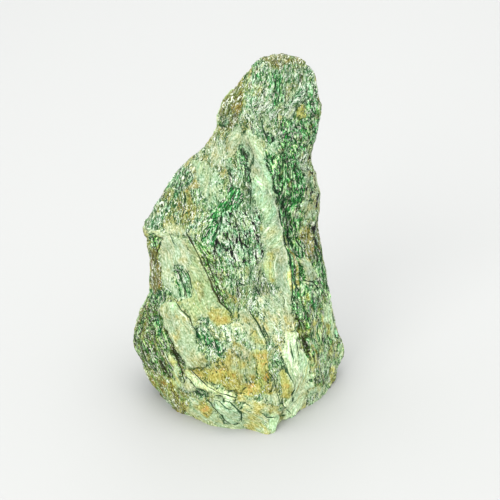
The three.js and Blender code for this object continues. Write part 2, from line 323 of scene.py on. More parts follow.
# %% Outline the plates of the middle and of the right edge
PLATES += [
    Plate("shaded strip by the vein", 97, -0.8,
          dict(pale=0.1, deep=0.45, speck=0.7, teal=0.3, glint=0.3, bright=0.3),
          [(237, 146), (246, 144), (253, 160), (253, 210), (249, 218), (240, 180)]),
    Plate("light centre", 94, 0,
          dict(pale=0.35, deep=0.25, speck=0.3, teal=0.1, yellow=0.2, glint=0.25, bright=-0.29),
          [(236, 176), (252, 190), (262, 236), (276, 290), (256, 302), (246, 262), (240, 214)]),
    Plate("vein", 103, 0.2, dict(pale=1.3, deep=-0.3, rust=0.1, cream=0.3, bright=-0.21),
          [(240, 140), (247, 132), (255, 146), (265, 165), (272, 186), (279, 212), (284, 250),
           (289, 280), (287, 300), (278, 292), (270, 262), (264, 236), (256, 208), (250, 176)]),
    Plate("head of the vein", 110, 0.5, dict(pale=1.3, deep=-0.3, rust=0.05, yellow=0.1),
          [(245, 134), (249, 129), (257, 138), (262, 150), (263, 166), (256, 158), (249, 146)]),
    Plate("smooth edge of the vein", 105, 0.3, dict(pale=1.3, deep=-0.3, teal=0.4, bright=0.15),
          [(262, 158), (269, 163), (273, 178), (277, 196), (272, 196), (266, 180)]),
    Plate("teal side of the vein", 60, 0.1, dict(pale=1.3, deep=-0.3, teal=0.4, bright=0),
          [(252, 186), (262, 190), (270, 196), (277, 214), (270, 222), (264, 230), (257, 212)]),
    Plate("white chip", 130, 0.6, dict(pale=1.3, deep=-0.3, teal=0.6, cream=1, bright=0.35),
          [(255, 178), (263, 179), (267, 191), (262, 190), (255, 185)]),
    Plate("yellow facet", 40, 0.4, dict(pale=1.3, deep=-0.3, rust=0.1, yellow=0.2),
          [(264, 234), (271, 224), (277, 218), (281, 232), (283, 250), (270, 246)]),
    Plate("yellow stripe of the vein", 100, 0, dict(pale=1.1, deep=-0.1, rust=0.5, yellow=0.9),
          [(264, 248), (271, 250), (276, 268), (279, 284), (272, 284), (268, 266)]),
    Plate("ochre in the vein's foot", 95, 0.1, dict(pale=1.2, rust=0.7, yellow=0.1, cream=0.4, bright=0.42),
          [(286, 268), (291, 272), (293, 286), (290, 291), (286, 284)]),
    Plate("emerald strip", 97, -0.5,
          dict(deep=1.25, rust=0.05, speck=0.3, yellow=0.1, glint=0.1, bright=0.58),
          [(266, 158), (290, 145), (303, 190), (308, 240), (312, 285), (297, 295), (291, 262),
           (284, 220), (275, 184)]),
    Plate("darkest emerald", 98, -1, dict(deep=1.4, speck=0.3, yellow=0.1, bright=0.52),
          [(275, 186), (282, 190), (288, 214), (298, 250), (303, 284), (296, 290), (290, 252),
           (283, 216)]),
    Plate("grey right edge", 94, 0.3,
          dict(pale=0.35, deep=0.25, rust=0.35, speck=0.8, cream=0.3, glint=0.35, bright=-0.06),
          [(303, 150), (322, 150), (330, 262), (314, 262), (306, 225), (301, 185)]),
    Plate("green right edge", 99, 0,
          dict(deep=1.2, rust=0.2, speck=0.15, yellow=0.3, glint=0.05, bright=-0.12),
          [(314, 244), (330, 240), (336, 292), (328, 290), (318, 276)]),
    Plate("rust on the right edge", 95, 0.2,
          dict(pale=0.3, deep=0.15, rust=0.9, speck=0.4, cream=0.4, glint=0.4, bright=-0.12),
          [(306, 216), (313, 220), (314, 250), (311, 276), (306, 270), (304, 236)]),
    Plate("speckled centre", 94, 0, dict(pale=0.25, deep=0.4, speck=1, teal=0.4, glint=0.55, bright=-0.07),
          [(212, 215), (226, 208), (254, 212), (264, 250), (260, 262), (232, 268), (212, 250)]),
    Plate("teal left of the centre", 70, 0, dict(pale=0.1, deep=0.7, teal=0.6, glint=0.4, bright=-0.12),
          [(196, 232), (206, 220), (220, 214), (218, 236), (206, 246)]),
    Plate("green streak", 62, -0.3, dict(deep=1.1, speck=0.25, teal=0.5, glint=0.2, bright=0.28),
          [(232, 186), (241, 188), (244, 200), (228, 214), (206, 222), (214, 208), (228, 198)]),
]
print(len(PLATES), "plates so far")

# %% [markdown]
# The left side steps down from a rusty shoulder over a pale field to a band and a thick lozenge. Below
# them a field of rust, with an orange hem, fills the width up to the crack in the middle.

# %% Outline the plates of the left side
PLATES += [
    Plate("left shoulder", 86, 0.5, dict(pale=0.1, deep=0.45, rust=0.45, speck=0.25, glint=0.1, bright=-0.2),
          [(145, 222), (160, 188), (184, 182), (198, 215), (188, 236), (168, 230)]),
    Plate("rust on the shoulder", 92, 0.1,
          dict(pale=0.2, deep=0.3, rust=0.85, speck=0.2, cream=0.4, bright=-0.18),
          [(178, 190), (186, 188), (196, 206), (192, 222), (182, 222)]),
    Plate("green corner of the shoulder", 86, 0.3,
          dict(pale=0.3, deep=0.45, teal=0.2, speck=0.2, bright=-0.32),
          [(146, 222), (152, 206), (164, 212), (162, 228), (150, 228)]),
    Plate("chip on the shoulder", 155, 1.2, dict(pale=1.2, rust=0.3, cream=2.2, bright=-0.1),
          [(146, 226), (153, 229), (161, 231), (171, 234), (175, 242), (166, 244), (156, 238),
           (147, 233)]),
    Plate("green below the chip", 66, -0.6, dict(deep=0.8, rust=0.4, speck=0.2, yellow=0.5, bright=0.84),
          [(150, 230), (165, 238), (160, 252), (154, 262), (150, 246)]),
    Plate("brown left edge", 95, 0.2, dict(deep=0.5, rust=0.9, speck=0.3, yellow=1, bright=-0.46),
          [(149, 250), (157, 252), (158, 290), (150, 300), (146, 280)]),
    Plate("olive strip right of the band", 112, -0.3,
          dict(pale=0.25, deep=0.75, rust=0.25, speck=0.35, yellow=0.9, glint=0.3, bright=0.28),
          [(190, 236), (200, 238), (212, 262), (222, 290), (236, 312), (226, 314), (214, 292),
           (202, 262)]),
    Plate("pale field", 100, 0.3, dict(pale=1.1, deep=0.05, rust=0.1, cream=0.8, bright=-0.08),
          [(160, 242), (168, 236), (190, 238), (191, 262), (188, 288), (172, 294), (158, 280)]),
    Plate("green cluster", 110, -0.5, dict(pale=0.45, deep=0.55, speck=0.5, teal=0.1),
          [(174, 266), (185, 268), (191, 278), (190, 294), (184, 300), (175, 294), (171, 276)]),
    Plate("pale band", 122, 0, dict(pale=1.2, deep=-0.2, rust=0.2, yellow=0.75, bright=-0.19),
          [(188, 236), (196, 248), (205, 268), (215, 294), (231, 314), (226, 320), (214, 322),
           (200, 316), (195, 328), (182, 308), (178, 298), (190, 290), (191, 262)]),
    Plate("ochre end of the band", 122, 0, dict(pale=1, rust=0.7, yellow=0.3, cream=0.3, bright=-0.1),
          [(213, 306), (222, 304), (233, 313), (230, 321), (216, 324), (208, 318)]),
    Plate("lozenge", 118, 1.5, dict(pale=1.2, deep=-0.1, rust=0.3, yellow=0.25, cream=0.6, bright=-0.17),
          [(164, 308), (168, 302), (175, 301), (186, 314), (196, 334), (196, 348), (208, 358),
           (206, 366), (188, 366), (176, 348), (167, 328)]),
    # Its white is partly pale rock and partly a painted highlight on the facet.
    Plate("lozenge's white corner", 118, 1.8, dict(pale=1.3, deep=-0.2, teal=0.7, cream=1, bright=0.18),
          [(169, 302), (174, 301), (180, 309), (176, 312), (171, 308)]),
    Plate("green below the band", 105, -0.7,
          dict(pale=0.25, deep=0.65, rust=0.1, speck=0.35, teal=0.2, glint=0.2, bright=-0.1),
          [(198, 320), (208, 320), (212, 332), (224, 348), (224, 362), (212, 352), (198, 340)]),
    Plate("white mica", 100, 0.2,
          dict(pale=0.4, deep=0.05, rust=0.15, speck=0.25, cream=1.8, glint=0.7, bright=0.09),
          [(208, 326), (232, 318), (246, 322), (250, 336), (236, 350), (222, 340)]),
    Plate("brown column", 96, 0,
          dict(pale=0.3, deep=0.4, rust=0.6, speck=0.2, yellow=0.3, glint=0.2, bright=-0.1),
          [(226, 292), (236, 294), (238, 316), (230, 322), (226, 308)]),
    Plate("rust field", 112, 0.1,
          dict(pale=0.7, deep=0.15, rust=0.5, speck=0.2, cream=0.9, yellow=0.4, glint=0.05, bright=-0.18),
          [(190, 368), (208, 366), (226, 362), (240, 344), (256, 350), (268, 372), (272, 396),
           (256, 394), (230, 394), (206, 382)]),
    Plate("orange hem of the rust field", 125, -0.2,
          dict(pale=0.6, rust=1.1, cream=0.9, yellow=0.5, speck=0.1, bright=0),
          [(192, 368), (206, 367), (216, 372), (230, 374), (242, 384), (254, 376), (258, 352),
           (268, 372), (272, 396), (254, 392), (232, 393), (206, 381)]),
    Plate("white fold in the rust field", 100, 0.4,
          dict(pale=0.7, deep=0.1, rust=0.4, cream=1.6, glint=0.3, bright=-0.14),
          [(222, 350), (238, 342), (252, 350), (246, 362), (232, 358)]),
]
print(len(PLATES), "plates so far")

# %% [markdown]
# The foot is a stair of broken layers: the green bulge at the left, the pale strips, the toe, and the
# upright cliff at the right with the block behind it.

# %% Outline the plates along the foot
PLATES += [
    Plate("left bulge", 114, 0, dict(deep=1.2, rust=0.25, speck=0.4, yellow=0.9, glint=0.1, bright=-0.08),
          [(146, 292), (160, 298), (164, 322), (174, 346), (186, 368), (176, 384), (152, 372),
           (130, 345), (130, 322), (138, 304)]),
    Plate("deep slot of the bulge", 105, -0.7, dict(deep=1.5, speck=0.2, teal=0.9, bright=0.4),
          [(155, 312), (161, 316), (164, 334), (158, 334)]),
    Plate("bulge's foot", 122, 0.3, dict(pale=0.25, deep=0.4, rust=0.65, speck=0.15, yellow=1, bright=-0.08),
          [(140, 362), (152, 370), (176, 382), (192, 404), (204, 420), (186, 424), (160, 398)]),
    Plate("pale strip beside the bulge", 118, 0.9,
          dict(pale=1, deep=0.1, rust=0.35, yellow=0.6, cream=0.3, bright=0.1),
          [(164, 352), (170, 354), (177, 370), (184, 384), (180, 390), (170, 372)]),
    Plate("upper foot strip", 132, 1.3,
          dict(pale=1.3, deep=-0.1, rust=0.15, cream=0.9, yellow=0.5, bright=0.31),
          [(184, 370), (188, 367), (194, 372), (204, 383), (212, 390), (232, 396), (230, 402),
           (212, 396), (198, 387), (190, 378)]),
    Plate("block under the upper strip", 120, 0.9, dict(pale=1.3, rust=0.2, cream=0.4, bright=-0.05),
          [(184, 380), (190, 378), (195, 385), (197, 390), (189, 391), (185, 386)]),
    Plate("middle foot strip", 146, 1, dict(pale=1.2, deep=0.1, teal=0.2, cream=0.2, bright=0.05),
          [(207, 398), (216, 400), (232, 406), (242, 414), (240, 422), (232, 422), (218, 412)]),
    Plate("white block in the strips", 146, 1.5, dict(pale=1.3, teal=0.8, cream=1, bright=0.02),
          [(218, 400), (226, 401), (232, 406), (228, 409), (221, 404)]),
    Plate("dark corner between the strips", 140, -0.9,
          dict(deep=0.7, rust=0.2, speck=0.9, yellow=0.4, bright=-0.28),
          [(190, 391), (198, 389), (207, 393), (207, 398), (200, 398), (194, 396)]),
    Plate("foot", 150, 0,
          dict(pale=0.8, deep=0.15, rust=0.5, yellow=0.05, speck=0.1, cream=0.5, bright=0.05),
          [(242, 404), (262, 400), (282, 406), (280, 436), (244, 436), (240, 420)]),
    Plate("toe", 70, 0.3, dict(pale=1.3, teal=0.35, cream=1.2, bright=0.3),
          [(268, 418), (282, 416), (282, 434), (272, 434)]),
    Plate("rust beside the cliff", 105, 0.1,
          dict(pale=0.8, deep=0.05, rust=0.95, cream=0.7, yellow=0.3, bright=0.1),
          [(280, 370), (288, 378), (293, 390), (290, 400), (282, 398), (277, 384)]),
    Plate("ridge's foot", 112, 0.3, dict(pale=0.6, rust=0.25, speck=0.15, cream=3.4, glint=0.7, bright=0.04),
          [(258, 296), (282, 296), (289, 312), (290, 330), (284, 342), (280, 356), (270, 346),
           (260, 322)]),
    Plate("crest", 105, 0.9, dict(pale=1.3, cream=0.7, bright=0.02),
          [(279, 290), (286, 291), (294, 298), (293, 309), (291, 322), (286, 328), (286, 312)]),
    Plate("cliff", 98, 1.1, dict(pale=1.2, deep=0.3, teal=0.25, cream=1, glint=0.3, bright=0.14),
          [(284, 337), (292, 335), (299, 339), (308, 353), (310, 366), (312, 377), (304, 385),
           (297, 394), (290, 386), (282, 368), (280, 354)]),
    Plate("foot of the cliff", 98, 0.8, dict(pale=1.2, rust=0.15, yellow=0.1, cream=0.5, bright=0.5),
          [(296, 376), (304, 372), (314, 390), (304, 410), (292, 416), (283, 417), (285, 405),
           (292, 396)]),
    Plate("olive hollow", 115, -0.9, dict(deep=1.4, rust=0.3, speck=0.3, yellow=1.5, bright=0.24),
          [(293, 320), (302, 319), (314, 350), (310, 358), (300, 342), (294, 332)]),
    Plate("block low on the right", 98, 0.6,
          dict(pale=0.4, deep=0.6, rust=0.3, speck=0.5, yellow=0.4, glint=0.4, bright=0.35),
          [(302, 294), (324, 288), (348, 340), (340, 390), (312, 412), (313, 379), (311, 364), (313, 352)]),
]
print(len(PLATES), "plates so far")

# %% [markdown]
# Smaller patches lie over the large plates wherever the picture shows a colour, a glint or a shade of
# its own. They come last, because a later plate lies over an earlier one. More noise in the large
# plates would give as many patches, but not in their places.

# %% Outline the small patches high up and in the middle
PLATES += [
    Plate("pale hem low on the right", 98, 0.2,
          dict(pale=0.6, deep=0.3, rust=0.3, speck=0.2, yellow=0.1, cream=0.3, glint=0.5, bright=0.25),
          [(306, 396), (316, 387), (328, 387), (338, 385), (336, 394), (314, 412), (302, 414)]),
    Plate("dark green low on the right", 99, 0, dict(deep=1.2, teal=0.8, bright=0.45),
          [(329, 304), (334, 304), (342, 332), (338, 336)]),
    Plate("light strip low on the right", 99, 0.2,
          dict(pale=0.7, deep=0.3, speck=0.3, teal=0.2, cream=0.3, glint=0.4, bright=0.35),
          [(319, 302), (326, 304), (334, 324), (332, 338), (324, 324)]),
    Plate("light patch high on the right", 95, 0.2,
          dict(pale=0.75, rust=0.3, speck=0.4, cream=0.4, glint=0.4, bright=0.1),
          [(303, 200), (311, 202), (312, 218), (306, 222), (302, 210)]),
    Plate("light patch in the middle of the right", 97, 0.1,
          dict(pale=0.75, deep=0.1, rust=0.3, speck=0.4, cream=0.4, glint=0.4, bright=0.15),
          [(300, 257), (308, 262), (315, 274), (315, 287), (307, 285), (301, 271)]),
    Plate("emerald shoulder", 97, -0.4, dict(deep=1.4, speck=0.3, glint=0.1, bright=0.3),
          [(292, 161), (300, 157), (305, 172), (306, 192), (300, 196), (294, 178)]),
    Plate("white mica below the crown", 98, 0.1,
          dict(pale=0.5, deep=0.1, speck=0.2, teal=0.2, cream=0.6, glint=0.7, bright=-0.08),
          [(243, 104), (255, 103), (262, 112), (271, 121), (279, 136), (280, 151), (270, 152),
           (257, 133), (246, 120)]),
    Plate("glinting patch at the upper left", 70, 0.2,
          dict(pale=0.7, rust=0.25, speck=0.15, cream=1.4, glint=0.6, bright=-0.14),
          [(211, 143), (219, 139), (227, 150), (225, 166), (215, 168), (209, 158)]),
    Plate("pale middle of the upper left", 82, 0.3,
          dict(pale=0.75, deep=0.05, rust=0.1, speck=0.15, teal=0.3, cream=0.9, glint=0.4, bright=-0.12),
          [(192, 160), (205, 160), (214, 170), (224, 186), (222, 204), (209, 206), (201, 192), (193, 173)]),
    Plate("light patch in the speckled centre", 92, 0,
          dict(pale=0.5, speck=0.6, teal=0.3, cream=0.4, glint=0.9, bright=0.02),
          [(235, 214), (248, 213), (250, 228), (241, 231), (234, 225)]),
    Plate("olive patch left of the centre", 98, -0.2,
          dict(deep=0.8, rust=0.2, speck=0.4, yellow=0.6, glint=0.2, bright=0.05),
          [(211, 251), (223, 254), (228, 270), (222, 277), (214, 267)]),
    Plate("pale strip beside the middle crack", 108, 0.2,
          dict(pale=0.85, deep=0.05, rust=0.15, speck=0.15, cream=0.8, glint=0.4, bright=-0.05),
          [(237, 312), (246, 310), (252, 318), (259, 332), (263, 346), (254, 345), (243, 330)]),
]
print(len(PLATES), "plates so far")

# %% Outline the small patches low down and along the edges
PLATES += [
    Plate("pale hem low on the left", 140, 0.3,
          dict(pale=0.95, deep=0.05, rust=0.3, yellow=0.3, cream=0.5, bright=0.05),
          [(188, 398), (196, 400), (206, 404), (216, 413), (230, 424), (243, 425), (246, 438),
           (214, 434), (196, 420), (186, 407)]),
    Plate("ochre patch low on the left", 140, 0.3,
          dict(pale=0.7, rust=1, yellow=0.4, cream=0.5, bright=-0.02),
          [(195, 401), (203, 404), (212, 412), (208, 417), (198, 410)]),
    Plate("rusty left of the crown", 78, 0.1,
          dict(pale=0.3, deep=0.15, rust=0.7, speck=0.2, cream=0.8, yellow=0.4, glint=0.2, bright=-0.28),
          [(239, 82), (245, 70), (254, 64), (256, 78), (250, 92), (242, 97)]),
    Plate("dark spot at the upper left", 76, -0.3,
          dict(pale=0.1, deep=0.6, speck=0.6, teal=0.2, glint=0.2, bright=-0.2),
          [(171, 174), (184, 168), (189, 180), (182, 190), (171, 188)]),
    Plate("speckled strip left of the shade", 95, -0.2,
          dict(pale=0.25, deep=0.4, rust=0.2, speck=0.5, cream=0.2, glint=0.3, bright=-0.24),
          [(228, 166), (238, 164), (239, 186), (230, 188)]),
    Plate("dark specks left of the centre", 98, -0.1,
          dict(pale=0.1, deep=0.5, speck=1.2, teal=0.2, glint=0.4, bright=-0.2),
          [(218, 238), (231, 237), (234, 254), (222, 256)]),
    Plate("green patch below the centre", 98, -0.1,
          dict(pale=0.2, deep=0.5, rust=0.2, speck=0.4, yellow=0.3, bright=-0.22),
          [(228, 278), (242, 278), (246, 293), (237, 298), (229, 290)]),
    Plate("dark patch on the right edge", 95, -0.2,
          dict(pale=0.1, deep=0.4, rust=0.6, speck=1, yellow=0.3, glint=0.3, bright=-0.22),
          [(305, 226), (313, 225), (314, 241), (306, 243)]),
    # Painted light: the flank faces away from the lamps, and its high brightness lifts it.
    Plate("right flank of the cliff", 98, 1,
          dict(pale=1.2, deep=0.1, teal=0.3, cream=1, glint=0.3, bright=0.75),
          [(304, 349), (310, 358), (313, 376), (306, 385), (302, 371)]),
    Plate("ochre middle of the hem", 125, -0.1,
          dict(pale=0.7, rust=1.1, yellow=0.7, cream=0.6, speck=0.1, bright=-0.06),
          [(210, 376), (232, 374), (242, 384), (238, 391), (222, 389), (212, 384)]),
    Plate("ochre arm of the rust field", 108, 0,
          dict(pale=0.85, rust=0.8, yellow=0.3, cream=0.5, bright=0.02),
          [(254, 347), (264, 350), (268, 372), (259, 372)]),
    Plate("darkest strip of the emerald", 98, -1, dict(deep=1.5, speck=0.6, bright=0.1),
          [(282, 196), (287, 198), (291, 222), (293, 240), (289, 238), (285, 218)]),
    Plate("light streak in the emerald", 98, -0.4,
          dict(pale=0.2, deep=0.6, rust=0.2, speck=0.2, yellow=0.2, glint=0.3, bright=0.6),
          [(294, 240), (299, 238), (302, 258), (299, 264), (295, 252)]),
    Plate("rusty streak beside the emerald", 97, 0,
          dict(pale=0.5, rust=0.5, speck=0.2, cream=0.4, glint=0.2, bright=0.2),
          [(298, 214), (304, 214), (305, 233), (300, 234)]),
    Plate("shade over the ridge's foot", 100, -0.1,
          dict(pale=0.4, deep=0.4, rust=0.15, speck=0.4, yellow=0.2, glint=0.2, bright=-0.28),
          [(254, 280), (268, 278), (276, 287), (273, 297), (260, 298), (253, 291)]),
    Plate("glinting end of the slope", 45, 0.1,
          dict(pale=0.4, deep=0.1, speck=0.1, cream=0.5, glint=0.7, bright=-0.04),
          [(283, 104), (295, 99), (299, 108), (292, 117), (283, 114)]),
    Plate("dark top of the bulge", 110, -0.2, dict(deep=1.2, speck=0.3, teal=0.2, yellow=0.3, bright=-0.1),
          [(150, 291), (161, 292), (165, 302), (158, 306), (148, 302)]),
    Plate("dark top of the right block", 98, 0.2,
          dict(deep=1.1, rust=0.2, speck=0.5, glint=0.2, bright=0.12),
          [(304, 299), (317, 297), (319, 311), (308, 314)]),
    Plate("pale block over the foot", 120, 0.6,
          dict(pale=1, rust=0.25, yellow=0.1, cream=0.5, bright=0.04),
          [(264, 392), (274, 390), (280, 402), (278, 408), (265, 404)]),
    Plate("yellow edge of the pale strip", 112, 0.1,
          dict(pale=0.9, rust=0.5, yellow=0.6, cream=0.3, bright=-0.1),
          [(253, 327), (258, 330), (264, 346), (258, 348), (253, 338)]),
    Plate("teal spot by the crown's crack", 98, -0.3, dict(deep=0.6, speck=0.8, teal=0.6, bright=0.1),
          [(266, 132), (273, 133), (275, 142), (269, 146), (265, 140)]),
    Plate("green edge of the vein's head", 108, -0.4, dict(deep=1, speck=0.5, teal=0.2, bright=0),
          [(264, 150), (269, 152), (276, 170), (277, 182), (271, 172), (266, 160)]),
    Plate("pale patch over the pale field", 100, 0.3,
          dict(pale=0.9, rust=0.1, yellow=0.2, cream=0.8, bright=-0.1),
          [(168, 222), (180, 222), (189, 232), (176, 236), (168, 231)]),
    Plate("pale ledge under the hem", 120, 0.4, dict(pale=0.9, rust=0.4, yellow=0.4, cream=0.4, bright=0),
          [(232, 392), (248, 392), (256, 398), (246, 404), (236, 401)]),
]
print("the picture shows", len(PLATES), "plates")

# %% [markdown]
# The camera's formula says where each point of the net appears, and the last outline around that
# pixel gives the point its plate. Points that the camera sees at a grazing angle, or not at all, are
# left for the made up plates. The test counts how often a line from the pixel crosses the outline.

# %% Find each point's plate
GRAZING, GRAZING_SHAKE = (0.02, 0.16), 0.08
BORDER_WAVES = [(13, 6), (5.5, 4), (2.4, 2)]


def inside(across, down, outline):
    """Whether pixels lie inside an outline: the number of its sides to their right is odd."""
    odd = np.zeros(len(across), bool)
    for (x0, y0), (x1, y1) in zip(outline, outline[1:] + outline[:1]):
        if y0 == y1:
            continue
        crosses = (y0 > down) != (y1 > down)
        odd ^= crosses & (across < x0 + (down - y0) / (y1 - y0) * (x1 - x0))
    return odd


across, down = pixels_of(points)
shaken_across = across + sum(h * waves(points, size, 2 + size) for size, h in BORDER_WAVES)
shaken_down = down + sum(h * waves(points, size, 7 + size) for size, h in BORDER_WAVES)
facing = np.array(eye) / MM - points
facing /= np.linalg.norm(facing, axis=1)[:, None]
facing = (facing * normals).sum(1) + GRAZING_SHAKE * waves(points, 7, 4)
plate_of = np.full(count, -1)
for number, plate in enumerate(PLATES):
    plate_of[inside(shaken_across, shaken_down, plate.outline)] = number
plate_of[facing < GRAZING[0]] = -1
print("the camera sees", round(100 * (plate_of >= 0).mean()), "% of the stone")

# %% [markdown]
# The picture doesn't show the back, so its plates are made up: a coarse three-dimensional Voronoi
# noise cuts the same rock into plates of the same size, and each takes its streaks and its colours
# from its own number.

# %% Make up the plates that the picture doesn't show
BACK_PLATE, BACK_STRETCH = 24, 1.7
CELL_SHAKES = [(0.22, 11, 21), (0.08, 4, 24)]
KIND_SEED, KIND_SCATTER = 3.1, 7919
MARK_SPREAD = 4
BACK_KINDS = [
    Plate("mica", 92, 0, dict(pale=0.2, deep=0.3, rust=0.1, speck=0.3, glint=0.3), []),
    Plate("deep mica", 98, -0.6, dict(pale=0.05, deep=0.85, rust=0.1, speck=0.3), []),
    Plate("pale rock", 84, 0.9, dict(pale=1.1, deep=0.05, rust=0.15, yellow=0.3), []),
    Plate("rusty mica", 100, 0.2, dict(pale=0.4, deep=0.1, rust=0.75, speck=0.1, cream=0.4), []),
    Plate("grey mica", 80, 0.4, dict(pale=0.35, deep=0.2, rust=0.2, speck=0.4, glint=0.4), []),
]
cell_space = points / np.array([BACK_PLATE, BACK_PLATE, BACK_STRETCH * BACK_PLATE])
for shake, size, seed in CELL_SHAKES:
    cell_space += shake * np.column_stack([waves(points, size, seed + axis) for axis in range(3)])
hidden = np.nonzero(plate_of < 0)[0]
kinds = PLATES + BACK_KINDS
for i in hidden:
    centre = noise.voronoi(Vector(cell_space[i]))[1][0]
    number = int(KIND_SCATTER * abs(noise.cell(centre * KIND_SEED))) % len(BACK_KINDS)
    plate_of[i] = len(PLATES) + number
raised = np.array([kind.raised for kind in kinds], float)[plate_of]
print("made up plates cover", round(100 * len(hidden) / count), "% of the stone")


def shares(*parts):
    """The shares of these parts at every point, blended a little over the plates' borders."""
    table = np.array([[kind.mix.get(part, 0) for part in parts] for kind in kinds], float)
    return averaged(table[plate_of], MARK_SPREAD)


# %% [markdown]
# ## The fabric
# Mica grows in long thin flakes that lie side by side. So that relief and colour agree, every point
# gets fabric coordinates in millimetres: along its plate's streaks, across them, and in depth. A
# pattern that is stretched along the first of these becomes streaks on every face of the rock.

# %% Give each point its fabric coordinates
PLATE_STEP = 37
DEPTH_SHARE = 0.5
BENDS = [(34, 4, 30), (15, 1.8, 31), (6, 0.6, 34)]
streak = np.radians([kind.streak for kind in kinds])
along = np.outer(np.cos(streak), image_right) + np.outer(np.sin(streak), image_up)
beside = np.outer(-np.sin(streak), image_right) + np.outer(np.cos(streak), image_up)
bent = points.copy()
for size, amount, seed in BENDS:
    bent += amount * np.column_stack([waves(points, size, seed + axis / 3) for axis in range(3)])


def fabric_of(places, plates):
    """Fabric coordinates of places, each by the directions of its own plate."""
    along_streaks = (places * along[plates]).sum(1) + PLATE_STEP * plates
    across_streaks = (places * beside[plates]).sum(1)
    into_rock = DEPTH_SHARE * (places @ np.array(to_camera))
    return np.column_stack([along_streaks, across_streaks, into_rock])


fabric = fabric_of(bent, plate_of)
print("the streaks bend by up to", round(np.abs(bent - points).max(), 1), "mm")
